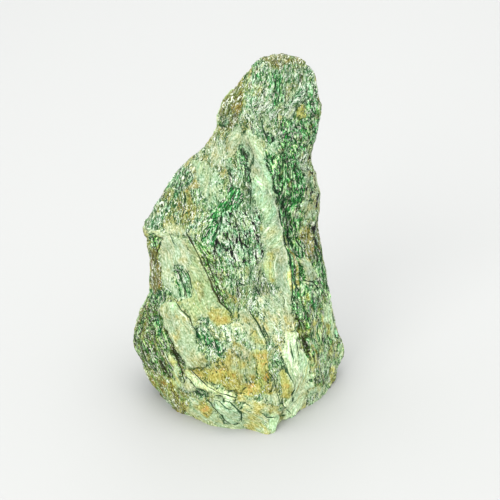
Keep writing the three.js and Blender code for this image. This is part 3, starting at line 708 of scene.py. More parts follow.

# %% [markdown]
# ## Lines
# The dark lines between the plates are real gaps, and the light ones are sharp crests; the finish
# paints shade into the gaps and a highlight along the crests. Each is a short list of pixels along
# the line, with its half width and its height in millimetres, below zero for a gap. The net is too
# coarse for an edge that is finer than its squares. So besides a groove or a crest in the net, each
# point gets its signed distance from the nearest line, counted in half widths. The distance runs
# evenly across a square, so the finish can draw a thin crisp line from it.

# %% Trace the lines that the picture shows
Line = namedtuple("Line", "name half height points")
LINES = [
    Line("crack in the crown", 0.3, -0.8, [(259, 112), (262, 124), (265, 132), (268, 143)]),
    Line("notch over the vein", 0.6, -1.4, [(240, 127), (243, 131), (244, 136)]),
    Line("left of the vein", 0.55, -0.9, [(247, 143), (253, 156), (249, 170), (252, 188), (251, 206)]),
    Line("right of the vein's head", 0.3, -0.8, [(266, 155), (270, 166), (274, 178), (277, 188)]),
    Line("right of the vein", 0.45, -1.2, [(277, 186), (280, 205), (282, 226), (287, 248), (291, 268),
                                          (293, 284), (291, 302)]),
    Line("beside the darkest emerald", 0.45, -0.9, [(284, 194), (287, 214), (290, 232), (291, 246)]),
    Line("slot by the vein", 0.55, -1, [(280, 174), (281, 183)]),
    Line("second slot by the vein", 0.5, -1, [(278, 190), (281, 198)]),
    Line("in the emerald", 0.35, -0.7, [(292, 200), (294, 218), (297, 240), (304, 254)]),
    Line("right of the pale band", 0.4, -1.1, [(186, 231), (194, 248), (201, 262), (207, 274),
                                              (213, 290), (220, 302), (232, 314)]),
    Line("beside the band's line", 0.3, -0.6, [(198, 244), (204, 256), (210, 270), (214, 284)]),
    Line("left of the pale band", 0.35, -0.6, [(186, 268), (190, 280), (191, 292)]),
    Line("down the middle", 0.4, -1.4, [(249, 311), (256, 321), (262, 333), (267, 346), (271, 356),
                                       (279, 368)]),
    Line("second one down the middle", 0.25, -0.6, [(262, 324), (266, 333), (270, 345)]),
    Line("left of the cliff", 0.65, -1.4, [(281, 357), (284, 367), (289, 378), (294, 388), (291, 402)]),
    Line("beside the rust", 0.3, -0.8, [(268, 371), (273, 380), (276, 392), (280, 404)]),
    Line("right of the lozenge", 0.45, -1.3, [(173, 298), (181, 309), (190, 319), (197, 334)]),
    Line("left of the lozenge", 0.4, -1, [(160, 304), (164, 322), (169, 338), (178, 353), (185, 364)]),
    Line("in the bulge", 0.35, -1.4, [(154, 342), (158, 354), (163, 364), (167, 374)]),
    Line("second one in the bulge", 0.35, -0.9, [(172, 346), (177, 360), (181, 372), (186, 384)]),
    Line("over the foot strips", 0.4, -1.3, [(189, 367), (198, 376), (208, 387), (218, 393), (238, 398)]),
    Line("between the strips", 0.3, -0.8, [(184, 376), (190, 378), (195, 385), (199, 390)]),
    Line("under the strips", 0.4, -1.1, [(203, 397), (213, 408), (222, 416), (235, 425)]),
    Line("among the right strips", 0.3, -0.8, [(208, 397), (218, 401), (224, 406), (231, 409)]),
    Line("end of the strips", 0.45, -1, [(227, 400), (235, 408), (241, 413), (242, 422)]),
    Line("over the toe", 0.3, -0.8, [(260, 412), (267, 418), (277, 418)]),
    Line("beside the foot", 0.35, -1, [(281, 398), (285, 408), (290, 414)]),
    Line("in the cliff", 0.35, -0.6, [(296, 338), (298, 352), (298, 366)]),
    Line("second one in the cliff", 0.35, -0.6, [(289, 342), (291, 354), (293, 364)]),
    Line("on the shoulder", 0.35, -0.9, [(148, 230), (155, 235), (165, 241)]),
    Line("below the shoulder", 0.7, -1.2, [(162, 240), (157, 252), (155, 266)]),
    Line("right of the shoulder's chip", 0.25, -0.5, [(169, 231), (173, 239), (175, 246)]),
    Line("on the shoulder's rust", 0.3, -0.5, [(184, 192), (185, 206), (182, 222)]),
    Line("ledge on the right", 0.4, -1.1, [(304, 281), (314, 282), (319, 290)]),
    Line("edge of the right block", 0.4, -0.9, [(294, 310), (300, 328), (309, 346)]),
    Line("crest of the vein", 0.35, 0.4, [(269, 188), (275, 204), (280, 222), (283, 246), (287, 268)]),
    Line("edge of the facet", 0.35, 0.3, [(263, 234), (269, 228), (277, 218)]),
    Line("crest in the vein", 0.18, 0.2, [(277, 254), (275, 266), (277, 280)]),
    Line("edge of the shoulder's chip", 0.5, 0.6, [(146, 226), (153, 229), (162, 231)]),
    Line("right edge of the lozenge", 0.3, 0.4, [(179, 310), (187, 319), (194, 334)]),
    Line("left edge of the lozenge", 0.3, 0.3, [(165, 308), (170, 326), (178, 346)]),
    Line("white crest", 0.6, 0.8, [(281, 292), (285, 300), (290, 310), (292, 330)]),
    Line("edge of the cliff", 0.5, 0.5, [(294, 334), (301, 342), (307, 353)]),
    Line("foot of the cliff's edge", 0.4, 0.4, [(293, 362), (298, 376), (297, 394)]),
    Line("edge of the upper strip", 0.35, 0.4, [(191, 370), (201, 380), (211, 390), (228, 397)]),
    Line("edge of the middle strip", 0.35, 0.4, [(208, 395), (222, 399), (236, 402)]),
    Line("first strip of the cliff", 0.75, 0.3, [(287, 341), (288, 352), (290, 364), (293, 376)]),
    Line("second strip of the cliff", 0.7, 0.3, [(293, 336), (294, 352), (296, 368)]),
    Line("third strip of the cliff", 0.7, 0.3, [(301, 345), (302, 358), (299, 372), (297, 386)]),
    Line("crest on the right block", 0.35, 0.4, [(310, 287), (314, 296), (317, 303)]),
    Line("crest in the bulge", 0.3, 0.4, [(160, 342), (166, 358), (174, 374)]),
    Line("crest beside the middle crack", 0.3, 0.3, [(254, 322), (260, 334), (264, 344)]),
]
print(len(LINES), "cracks and crests")

# %% [markdown]
# The speckled centre has short black dashes, grains of another mineral that lie every way. Each is a
# line between two pixels, and all are equally wide and hardly sunk.

# %% Trace the short black dashes
BLACK_DASHES = [
    [(229, 229), (228, 241)], [(234, 235), (234, 243)], [(239, 235), (238, 244)], [(234, 229), (239, 225)],
    [(237, 230), (242, 230)], [(248, 232), (246, 237)], [(252, 249), (252, 255)], [(260, 249), (261, 256)],
    [(216, 237), (222, 247)], [(216, 239), (214, 256)], [(204, 251), (211, 254)], [(255, 285), (260, 296)],
    [(239, 282), (245, 286)], [(225, 275), (231, 279)], [(243, 218), (246, 226)], [(225, 219), (230, 224)],
    [(254, 224), (257, 232)], [(223, 232), (226, 238)], [(243, 243), (249, 248)], [(230, 252), (234, 260)],
    [(252, 157), (254, 166)], [(251, 168), (250, 176)], [(249, 184), (249, 193)], [(244, 163), (246, 171)],
    [(246, 176), (247, 182)], [(262, 126), (266, 136)], [(292, 186), (294, 194)], [(314, 226), (317, 232)]]
LINES += [Line("black dash", 0.55, -0.3, dash) for dash in BLACK_DASHES]
print("the picture shows", len(LINES), "lines")

# %% [markdown]
# The distance is measured in the picture, to the nearest stretch of each line, and its sign says on
# which side of the line a point lies. The lines taper towards their ends and open and close by
# noise, because a real crack is never of one width.

# %% Measure how far a pixel lies from a line
def from_line(x, y, line):
    """The signed distance of pixels from a line, and how far from its nearer end they lie."""
    best = np.full(len(x), np.inf)
    signed, run, start = np.zeros(len(x)), np.zeros(len(x)), 0
    for (x0, y0), (x1, y1) in zip(line, line[1:]):
        length = math.hypot(x1 - x0, y1 - y0)
        share = np.clip(((x - x0) * (x1 - x0) + (y - y0) * (y1 - y0)) / length ** 2, 0, 1)
        distance = np.hypot(x - x0 - share * (x1 - x0), y - y0 - share * (y1 - y0))
        side = np.sign((x1 - x0) * (y - y0) - (y1 - y0) * (x - x0))
        nearer = distance < best
        signed[nearer] = (side * distance)[nearer]
        run[nearer] = (start + share * length)[nearer]
        best = np.minimum(best, distance)
        start += length
    return signed, np.minimum(run, start - run)


# %% Find each point's distance from the lines
LINE_SHAKE = 0.3
TAPER = 5
FAR = 9
CLOSE_REACH, CLOSE_FADE = 1.15, 0.35
NET_REACH, GROOVE_WIDTHS = 0.8, 1.6
GROOVE_SHARE = 0.45
THINNING = 0.7
NARROWEST, WIDEST = 0.15, 1.5
seen = smoothstep(facing, *GRAZING)
line_across = across + LINE_SHAKE * (shaken_across - across)
line_down = down + LINE_SHAKE * (shaken_down - down)
openness = 0.9 + waves(points, 9, 51) + 0.9 * waves(points, 3, 52)
openness = np.clip(openness, NARROWEST, WIDEST)
marked = {-1: np.full(count, float(FAR)), 1: np.full(count, float(FAR))}
close = {-1: np.zeros(count), 1: np.zeros(count)}
bulk = {-1: np.zeros(count), 1: np.zeros(count)}


def mark(kind, signed, half, height, where):
    """Adds one line to the marks: kind is -1 for a gap and 1 for a crest, lengths in millimetres."""
    distance = np.abs(signed)
    counted = np.clip(signed / half, -FAR, FAR)
    nearer = where & (np.abs(counted) < np.abs(marked[kind]))
    marked[kind][nearer] = counted[nearer]
    closeness = np.clip((CLOSE_REACH - distance) / CLOSE_FADE, 0, 1) * where
    close[kind] = np.maximum(close[kind], closeness)
    reach = np.maximum(GROOVE_WIDTHS * half, NET_REACH)
    slope = np.clip(1 - distance / reach, 0, 1)
    bulk[kind] = np.maximum(bulk[kind], GROOVE_SHARE * height * where * slope)


for line in LINES:
    signed, run = from_line(line_across, line_down, line.points)
    taper = np.sqrt(np.clip(run / TAPER, 0, 1))
    half = THINNING * line.half * openness * taper + 0.01
    kind = 1 if line.height > 0 else -1
    height = abs(line.height) * openness * taper
    mark(kind, signed / PIXELS_PER_MM, half, height, (run > 0) & (seen > 0.5))
print("lines pass near", round(100 * (np.maximum(close[-1], close[1]) > 0).mean()), "% of the points")

# %% [markdown]
# On the sides that the picture doesn't show, the lines are made up. Smooth noise is zero along
# winding sheets through the rock, and where such a sheet comes out it makes a line. The noise over
# its own slope is the distance from the sheet.

# %% Make up the lines that the picture doesn't show
Sheet = namedtuple("Sheet", "size kind half depth seed")
BACK_LINES = [
    Sheet((17, 13, 42), -1, 0.35, 1.3, 61),
    Sheet((9, 8, 26), -1, 0.3, 0.8, 62),
    Sheet((13, 10, 34), 1, 0.3, 0.5, 63),
]
unseen = seen <= 0.5
for size, kind, half, depth, seed in BACK_LINES:
    sheet = waves(points, size, seed)
    slope = np.abs(sheet[edges[:, 0]] - sheet[edges[:, 1]]) / lengths
    slope = (np.bincount(edges[:, 0], slope, count) + np.bincount(edges[:, 1], slope, count)) / neighbours
    signed = sheet / np.maximum(1.5 * averaged(slope, 4), 0.02)
    width = np.clip(smoothstep(waves(points, 21, seed + 5), 0, 0.25) * openness, 0.01, 2)
    mark(kind, signed, half * width, depth * width, unseen & (width > 0.1))
groove, crest = bulk[-1], bulk[1]
print("the gaps reach", round(groove.max(), 1), "mm deep")

# %% [markdown]
# ## Relief
# The relief is added along the normals: the plates' own heights, the traced lines, thin furrows that
# run with the streaks, crumpled mica, flakes with flat tilted faces, and gaps along the plates'
# borders. Pale rock is fine grained, so it stays smoother than mica. A bump in the finish could fake
# all this, but only a moved net breaks the outline and throws real shadows. At the end each point is
# measured against the mean of its neighbours, which says how deep it lies in a hollow, and the finish
# paints shade there.

# %% Shape the furrows, the crumpled mica and the flakes
FURROWS = [((24, 4.4, 4.4), 0.1, 0.55), ((13, 2.8, 2.8), 0.13, 0.4)]
CRUMPLE_SIZE, CRUMPLE_HEIGHT = (4.8, 2.2, 2.2), 0.22
FLAKE_SIZE, FLAKE_HEIGHT = np.array([5.2, 2.3, 2.3]), 0.24
LUMP_SIZE, LUMP_HEIGHT = 7, 0.5
BORDER_DEPTH = 0.4
SMOOTH_IN_PALE = 0.6
TILT_SEED, STEP_SEED = 5.3, 7.7

furrow = np.zeros(count)
for number, (size, width, depth) in enumerate(FURROWS):
    line = np.clip(1 - np.abs(waves(fabric, size, 41 + number)) / width, 0, 1)
    furrow = np.maximum(furrow, depth * line)
crumple = 1 - 2.4 * np.abs(waves(fabric, CRUMPLE_SIZE, 45))
flakes = np.empty(count)
scaled = fabric / FLAKE_SIZE
for i in range(count):
    distances, centres = noise.voronoi(Vector(scaled[i]))
    turn = noise.cell_vector(centres[0] * TILT_SEED) - Vector((0.5, 0.5, 0.5))
    tilt = (Vector(scaled[i]) - centres[0]).dot(turn)
    flakes[i] = noise.cell(centres[0] * STEP_SEED) + 1.5 * tilt - 0.5
print("furrows cover", round(100 * (furrow > 0).mean()), "% of the points")

# %% [markdown]
# Where two plates meet the rock has split, so the border is a gap as well. All the parts are added up
# and every point moves along its normal by the sum.

# %% Add the gaps along the borders and move the net
split = (plate_of[edges[:, 0]] != plate_of[edges[:, 1]]).astype(float)
border = np.bincount(edges[:, 0], split, count) + np.bincount(edges[:, 1], split, count)
border = np.clip(border / 2, 0, 1) * openness
firmness = 1 - SMOOTH_IN_PALE * np.clip(shares("pale")[:, 0], 0, 1)
gaps = np.maximum(groove, np.maximum(firmness * furrow, BORDER_DEPTH * border))

height = averaged(raised, 1)
height += firmness * (CRUMPLE_HEIGHT * crumple + FLAKE_HEIGHT * averaged(flakes, 1))
height += LUMP_HEIGHT * waves(points, LUMP_SIZE, 43)
height += crest - gaps
points = points + height[:, None] * normals
normals = normals_of(points)
# How deep each point lies in a hollow, with the traced grooves filled; the finish paints shade there.
filled = points + groove[:, None] * normals
hollow = ((averaged(filled, 3) - filled) * normals).sum(1)
hollow += 0.5 * ((averaged(filled, 12) - filled) * normals).sum(1)
print("the relief runs from", round(height.min(), 1), "to", round(height.max(), 1), "mm")
print("hollows:", np.round(np.percentile(hollow, [2, 10, 50, 90, 98]), 2))

# %% [markdown]
# ## Passing the marks to the finish
# The finish reads five attributes. `fabric` carries the coordinates along, across and into the
# rock. `marks` carries the shares of pale rock, deep green, rust and black specks, and `tints` the
# yellow, teal and cream tints and the brightness. A fourth carries how deep a point lies between its
# neighbours, which the finish turns into painted shade, and its share of painted glints; its third
# number is spare. `lines` carries the distances from the gaps and the crests, each with its closeness.
# Along the rims, where the face turns edge on to the camera, a rustier and darker band is added to the
# marks: painted shade of the faces seen edge on. It stays in its place on the stone from wherever it is
# looked at.

# %% Store the attributes
def store(name, kind, domain, values):
    attribute = net.attributes.new(name, kind, domain)
    key = {"FLOAT_VECTOR": "vector", "FLOAT_COLOR": "color"}[kind]
    attribute.data.foreach_set(key, np.asarray(values, np.float32).ravel())
    print("stored", name, "for", len(attribute.data), domain.lower() + "s")


# Painted shade along the rims: where the face turns edge on to the camera it is painted rustier and darker.
RIM_FACING, RIM_WIDTH = 0.08, 0.14
RIM_RUSTY_SHADE, RIM_SHADE = 0.6, 0.3
rim = np.exp(-((facing - RIM_FACING) / RIM_WIDTH) ** 2) * smoothstep(waves(points, 16, 66), -0.4, 0.3)
corners = np.empty(len(net.loops), int)
net.loops.foreach_get("vertex_index", corners)
starts = np.empty(len(net.polygons), int)
net.polygons.foreach_get("loop_start", starts)
corner_plates = np.repeat(plate_of[corners[starts]], np.diff(np.append(starts, len(corners))))
store("fabric", "FLOAT_VECTOR", "CORNER", fabric_of(bent[corners], corner_plates))
marks = shares("pale", "deep", "rust", "speck") + np.outer(rim, (0, 0, RIM_RUSTY_SHADE, 0))
tints = shares("yellow", "teal", "cream", "bright") - np.outer(rim, (0, 0, 0, RIM_SHADE))
store("marks", "FLOAT_COLOR", "POINT", marks)
store("tints", "FLOAT_COLOR", "POINT", tints)
# Depth in a hollow, for painted shade, the share of painted glints, and a spare zero.
shade_and_glints = np.column_stack([hollow, shares("glint")[:, 0], np.zeros(count)])
store("shade_and_glints", "FLOAT_VECTOR", "POINT", shade_and_glints)
lines = np.column_stack([marked[-1], close[-1], marked[1], close[1]])
store("lines", "FLOAT_COLOR", "POINT", lines)

# %% [markdown]
# ## The finish of the broken rock
# Each node group is a tool with named inputs and outputs. `mica patterns` gives the streaks, lines,
# glints and flakes of mica. `drawn line` turns a distance into a crisp line, `rock colour` turns all
# of them into a colour, and `flake tilt` turns the normal from flake to flake, so that mica glitters.
# A painted texture would need the back to be painted too; patterns cover the stone on every side.
#
# The three numbers of a grain are its scale along, across and into the fabric, so a small first
# number makes long streaks. `between` then turns the grain into patches with soft or sharp edges.

# %% Helpers for node trees
def new_group(name, inputs, outputs):
    """A new node group with what it is given and what it puts out. Both map names to socket kinds."""
    tree = bpy.data.node_groups.new(name, "ShaderNodeTree")
    for label, kind in inputs.items():
        tree.interface.new_socket(label, in_out="INPUT", socket_type="NodeSocket" + kind)
    for label, kind in outputs.items():
        tree.interface.new_socket(label, in_out="OUTPUT", socket_type="NodeSocket" + kind)
    given, result = tree.nodes.new("NodeGroupInput"), tree.nodes.new("NodeGroupOutput")
    return tree, given.outputs, result.inputs


def add(tree, kind, links=(), settings=(), **values):
    """A node with its settings, its constant inputs and its incoming links."""
    node = tree.nodes.new("ShaderNode" + kind)
    for key, value in dict(settings).items():
        setattr(node, key, value)
    for key, value in values.items():
        node.inputs[key.replace("_", " ")].default_value = value
    for key, source in dict(links).items():
        tree.links.new(source, node.inputs[key])
    return node


def maths(tree, operation, first, second=None, clamp=False):
    node = tree.nodes.new("ShaderNodeMath")
    node.operation = operation
    node.use_clamp = clamp
    for socket, value in zip(node.inputs, (first, second)):
        if isinstance(value, (int, float)):
            socket.default_value = value
        elif value is not None:
            tree.links.new(value, socket)
    return node.outputs[0]


def times(tree, first, second):
    return maths(tree, "MULTIPLY", first, second)


def rest(tree, share):
    """What a share leaves of 1."""
    return maths(tree, "SUBTRACT", 1, share)


def scaled_vector(tree, vector, scale):
    node = add(tree, "VectorMath", settings={"operation": "MULTIPLY"})
    tree.links.new(vector, node.inputs[0])
    node.inputs[1].default_value = scale
    return node.outputs[0]


def blend(tree, share, first, second, mode="MIX"):
    """A colour between two colours; each may be a socket or a constant."""
    node = tree.nodes.new("ShaderNodeMix")
    node.data_type = "RGBA"
    node.blend_type = mode
    for socket, value in ((node.inputs[0], share), (node.inputs[6], first), (node.inputs[7], second)):
        if isinstance(value, bpy.types.NodeSocket):
            tree.links.new(value, socket)
        else:
            socket.default_value = value
    return node.outputs[2]


def ramp(tree, value, stops):
    node = tree.nodes.new("ShaderNodeValToRGB")
    tree.links.new(value, node.inputs[0])
    elements = node.color_ramp.elements
    while len(elements) < len(stops):
        elements.new(0.5)
    for element, (position, colour) in zip(elements, stops):
        element.position = position
        element.color = (*colour, 1)
    return node.outputs[0]


def grain(tree, vector, scale, detail=1.0, roughness=0.5, distortion=0.0):
    """Noise from 0 to 1 over a vector that is first scaled, axis by axis."""
    values = {"Detail": detail, "Roughness": roughness, "Distortion": distortion, "Scale": 1}
    return add(tree, "TexNoise", {"Vector": scaled_vector(tree, vector, scale)}, **values).outputs[0]


def between(tree, value, low, high):
    """0 below the low limit, 1 above the high one, and a soft step from one to the other."""
    node = add(tree, "MapRange", {"Value": value}, {"interpolation_type": "SMOOTHSTEP"})
    node.inputs["From Min"].default_value = low
    node.inputs["From Max"].default_value = high
    return node.outputs[0]


def weighted(tree, parts):
    """The sum of values, each times its own weight."""
    total = None
    for value, weight in parts:
        part = times(tree, value, weight)
        total = part if total is None else maths(tree, "ADD", total, part)
    return total


def linear(colour):
    """A colour as seen on a screen, 0 to 255, turned into light by the screen's standard curve."""
    seen_parts = [part / 255 for part in colour]
    return tuple(p / 12.92 if p < 0.04045 else ((p + 0.055) / 1.055) ** 2.4 for p in seen_parts)


def solid(colour):
    return (*linear(colour), 1)


# %% The flakes, streaks, flecks and threads of mica
PATTERNS = ("Tone", "Flow", "Grain", "Streak", "Lean", "Line", "Thread", "Fleck", "Glint", "Speck")


def mica_patterns():
    """Tone, Flow and Grain are smooth tones of three kinds of rock; Line and Speck are masks."""
    outputs = {**{name: "Float" for name in PATTERNS}, "Facet": "Color"}
    tree, given, result = new_group("mica patterns", {"Fabric": "Vector"}, outputs)
    fabric_in = given["Fabric"]
    slow = scaled_vector(tree, fabric_in, (0.3, 0.7, 0.7))
    warp = add(tree, "TexNoise", {"Vector": slow}, Scale=1, Detail=1)
    bent = scaled_vector(tree, warp.outputs["Color"], (4, 4, 4))
    shaken = add(tree, "VectorMath", {0: bent, 1: scaled_vector(tree, fabric_in, (0.55, 1.15, 1.15))},
                 {"operation": "ADD"}).outputs[0]
    flakes = add(tree, "TexVoronoi", {"Vector": shaken}, Scale=1, Randomness=1)
    tree.links.new(flakes.outputs["Color"], result["Facet"])
    parts = add(tree, "SeparateColor", {"Color": flakes.outputs["Color"]})

    fine = grain(tree, fabric_in, (0.95, 1.6, 1.6), 0, 0.5, 1.3)
    medium = grain(tree, fabric_in, (0.25, 0.8, 0.8), 1, 0.5, 0.8)
    tone = weighted(tree, [(fine, 1.2), (medium, 0.6), (parts.outputs[0], 0.25)])
    tree.links.new(between(tree, tone, 0.62, 1.44), result["Tone"])
    strands = grain(tree, fabric_in, (0.13, 1.0, 1.0), 1, 0.5, 0.4)
    flow = weighted(tree, [(strands, 1.6), (fine, 0.45)])
    tree.links.new(between(tree, flow, 0.79, 1.35), result["Flow"])
    smooth = weighted(tree, [(grain(tree, fabric_in, (1, 1.7, 1.7), 1), 0.8), (medium, 0.3)])
    tree.links.new(between(tree, smooth, 0.2, 0.9), result["Grain"])

    tree.links.new(grain(tree, fabric_in, (0.17, 0.9, 0.75), 2, 0.55, 0.5), result["Streak"])
    tree.links.new(grain(tree, fabric_in, (0.12, 0.5, 0.5), 2, 0.6, 0.8), result["Lean"])
    tree.links.new(grain(tree, fabric_in, (0.5, 1.6, 1.6), 0, 0.5, 1.6), result["Fleck"])
    tree.links.new(grain(tree, fabric_in, (0.3, 1.3, 1.3), 1, 0.5, 1.2), result["Thread"])
    sheet = grain(tree, fabric_in, (0.07, 0.5, 0.42), 1, 0.5, 0.4)
    away = maths(tree, "ABSOLUTE", maths(tree, "SUBTRACT", sheet, 0.5))
    line = maths(tree, "SUBTRACT", 1, between(tree, away, 0.008, 0.03))
    broken = between(tree, grain(tree, fabric_in, (0.25, 0.45, 0.45), 1), 0.46, 0.56)
    tree.links.new(times(tree, line, broken), result["Line"])
    sparks = grain(tree, fabric_in, (0.9, 1.6, 1.6), 0, 0.5, 1)
    clusters = grain(tree, fabric_in, (0.14, 0.34, 0.34), 1)
    tree.links.new(maths(tree, "ADD", sparks, clusters), result["Glint"])
    specks = grain(tree, fabric_in, (0.2, 0.85, 0.85), 0, 0.5, 0.9)
    tree.links.new(between(tree, specks, 0.63, 0.655), result["Speck"])
    return tree


# %% [markdown]
# A painted line would be as blurred as the net is coarse. A distance can be read between the points
# without loss, and cutting it off at one half width gives a line with a sharp edge.

# %% A crisp line from a distance
def drawn_line():
    """Distance counts in half widths of the line. Close is 1 near the line and 0 away from it."""
    inputs = {"Distance": "Float", "Close": "Float"}
    tree, given, result = new_group("drawn line", inputs, {"Line": "Float"})
    away = maths(tree, "ABSOLUTE", given["Distance"])
    line = maths(tree, "SUBTRACT", 1, between(tree, away, 0.6, 1.3))
    tree.links.new(times(tree, line, given["Close"]), result["Line"])
    return tree


# %% [markdown]
# The colours are written as they are seen on a screen. Each kind of rock has its own scale from the
# darkest grain to the brightest flake. The kinds are laid over each other as sharp patches: a share
# says how much of the surface a kind covers, and a pattern says where. Mixing the kinds evenly would
# give one flat olive green, which the real rock shows nowhere.

# %% The colours and the kinds of the rock
TONE_STEPS = (0.05, 0.22, 0.42, 0.6, 0.8, 0.96)
MICA = [(56, 96, 50), (98, 132, 84), (132, 161, 113), (156, 181, 138), (184, 204, 166), (214, 227, 198)]
DEEP = [(0, 30, 0), (0, 70, 18), (0, 106, 36), (34, 138, 54), (110, 174, 106), (194, 218, 180)]
MOSS = [(8, 30, 0), (24, 66, 4), (46, 96, 18), (80, 126, 46), (124, 158, 96), (186, 204, 162)]
MINT = [(98, 120, 80), (134, 155, 114), (160, 178, 144), (176, 192, 160), (197, 212, 182), (228, 237, 216)]
RUST = [(104, 100, 28), (134, 130, 54), (154, 152, 74), (170, 170, 94), (188, 188, 120), (212, 214, 164)]
ORANGE, SILVER, CREAM, PINK = (198, 154, 86), (234, 243, 224), (230, 238, 208), (222, 222, 200)
TEAL_TINT, OLIVE_TINT = (0.66, 1.03, 0.92, 1), (1.08, 1.0, 0.7, 1)
YELLOW_TINT, CREAM_TINT = (1.02, 1.0, 0.7, 1), (1.08, 0.98, 0.95, 1)
INK_GREEN, INK_OLIVE, BLACK = (4, 66, 28), (52, 58, 14), (12, 16, 12)


def tone_scale(tree, tone, colours):
    return ramp(tree, tone, [(step, linear(colour)) for step, colour in zip(TONE_STEPS, colours)])


def cover(tree, amount, pattern, spread=3, soft=0.15):
    """A mask that covers about this share of the surface where the pattern is highest."""
    total = weighted(tree, [(amount, 1), (pattern, spread)])
    return between(tree, total, 0.5 + spread / 2 - soft, 0.5 + spread / 2 + soft)


Kinds = namedtuple("Kinds", "marks tints wander wide hue lean pale deep rust firm")


def kinds_of_rock(tree, given):
    """Where the kinds of rock lie. Firm is mica that isn't pale, and lean says teal or olive."""
    marks = add(tree, "SeparateColor", {"Color": given["Marks"]}).outputs
    tints = add(tree, "SeparateColor", {"Color": given["Tints"]}).outputs
    wander = grain(tree, given["Fabric"], (0.1, 0.32, 0.32), 3, 0.6, 0.5)
    wide = grain(tree, given["Place"], (130, 130, 130), 2)
    hue = grain(tree, given["Place"], (190, 190, 190), 3, 0.55)
    pale_pattern = weighted(tree, [(wander, 0.7), (given["Tone"], 0.15), (wide, 0.15)])
    pale = cover(tree, marks[0], pale_pattern)
    green = maths(tree, "SUBTRACT", marks[1], times(tree, pale, 0.3))
    deep = cover(tree, green, weighted(tree, [(given["Streak"], 0.8), (wide, 0.2)]), 3, 0.25)
    rust = cover(tree, marks[2], weighted(tree, [(hue, 0.7), (wander, 0.3)]), 2.5, 0.3)
    firm = rest(tree, times(tree, pale, 0.75))
    lean = weighted(tree, [(given["Lean"], 0.65), (hue, 0.35)])
    return Kinds(marks, tints, wander, wide, hue, lean, pale, deep, rust, firm)


# %% [markdown]
# Pale rock grew over the mica, the deep green lies in strands with moss green among them, and rust
# came last, as a stain over both. So the colours are laid down in that order, and then each plate
# gets its tints, which waver from place to place as thin stains do.

# %% Lay the kinds of rock over each other
def laid_colour(tree, given, rock):
    """Mica below, then pale rock, deep green strands, rust and orange spots in the rust."""
    mossy = weighted(tree, [(between(tree, rock.lean, 0.52, 0.62), 0.35), (rock.tints[0], 0.5)])
    deep_tones, moss_tones = (tone_scale(tree, given["Flow"], scale) for scale in (DEEP, MOSS))
    strands = blend(tree, mossy, deep_tones, moss_tones)
    colour = tone_scale(tree, given["Tone"], MICA)
    colour = blend(tree, rock.pale, colour, tone_scale(tree, given["Grain"], MINT))
    colour = blend(tree, times(tree, rock.deep, 0.95), colour, strands)
    rusty = times(tree, given["Tone"], rest(tree, rock.pale))
    rusty = maths(tree, "ADD", rusty, times(tree, given["Grain"], rock.pale))
    colour = blend(tree, times(tree, rock.rust, 0.85), colour, tone_scale(tree, rusty, RUST))
    spots = times(tree, rock.rust, between(tree, rock.hue, 0.54, 0.64))
    spots = times(tree, spots, between(tree, rock.marks[2], 0.5, 1))
    return blend(tree, times(tree, spots, 0.55), colour, solid(ORANGE))


def tinted_colour(tree, given, rock, colour):
    """The colour leaning to teal or olive, then with its plate's tints and its brightness, partly painted
    light and shade.
    """
    tint = blend(tree, between(tree, rock.lean, 0.42, 0.58), TEAL_TINT, OLIVE_TINT)
    leaning = blend(tree, 1, colour, tint, "MULTIPLY")
    strength = weighted(tree, [(rock.firm, 0.6), (rock.deep, -0.3)])
    colour = blend(tree, maths(tree, "ADD", strength, 0.2), colour, leaning)
    for part, target in zip(rock.tints, (YELLOW_TINT, TEAL_TINT, CREAM_TINT)):
        wavering = times(tree, part, times(tree, rock.wide, 2))
        colour = blend(tree, wavering, colour, blend(tree, 1, colour, target, "MULTIPLY"))
    # The brightness is partly the plate's tone and partly painted light and shade, with the rims' painted
    # shade in it.
    brightness = maths(tree, "ADD", given["Bright"], 0.86)
    scaled = add(tree, "VectorMath", {0: colour, "Scale": brightness}, {"operation": "SCALE"})
    return scaled.outputs[0]


# %% [markdown]
# Mica's fine marks are thin dark threads, partly the edges of its sheets and partly painted shade in
# the crevices between them; light flecks, a painted highlight where a sheet faces the window; and
# single glints, painted highlights too. All three are patterns cut off sharply, because real flakes
# have sharp edges.

# %% Draw the threads, the flecks and the glints
def flecked_colour(tree, given, rock, colour, ink):
    """The colour with dark threads and lines, and with painted highlights: light flecks, glints and crests.
    """
    # Dark threads between the flakes: partly the sheets' dark edges, partly painted shade in the crevices.
    thread_share = weighted(tree, [(rock.firm, 0.25), (rock.pale, -0.3)])
    threads = cover(tree, thread_share, given["Thread"], 3, 0.1)
    colour = blend(tree, times(tree, threads, 0.7), colour, ink)
    colour = blend(tree, times(tree, given["Line"], rock.firm), colour, ink)
    # Painted highlights: light flecks, silver on mica and pink on the deep green, and single silver glints.
    fleck_share = weighted(tree, [(rock.firm, 0.06), (given["Glints"], 0.12), (rock.deep, -0.06),
                                  (rock.rust, -0.05), (rock.pale, -0.5)])
    flecks = cover(tree, fleck_share, given["Fleck"], 3, 0.1)
    light = blend(tree, rock.deep, solid(SILVER), solid(PINK))
    colour = blend(tree, times(tree, flecks, 0.68), colour, light)
    glints = maths(tree, "ADD", given["Glint"], times(tree, given["Glints"], 0.12))
    dull = rest(tree, times(tree, rock.deep, 0.6))
    spark = times(tree, between(tree, glints, 1.23, 1.28), times(tree, rock.firm, dull))
    colour = blend(tree, times(tree, spark, 0.75), colour, solid(SILVER))
    # Painted highlight along the traced crests, in cream and broken by noise.
    crest = times(tree, given["Crest"], between(tree, rock.wander, 0.38, 0.56))
    return blend(tree, times(tree, crest, 0.6), colour, solid(CREAM))


# %% [markdown]
# Hollows are dark because less light gets in. The render makes some of that by itself, and this step
# paints more shade into the hollows and the traced gaps, and adds the black specks.

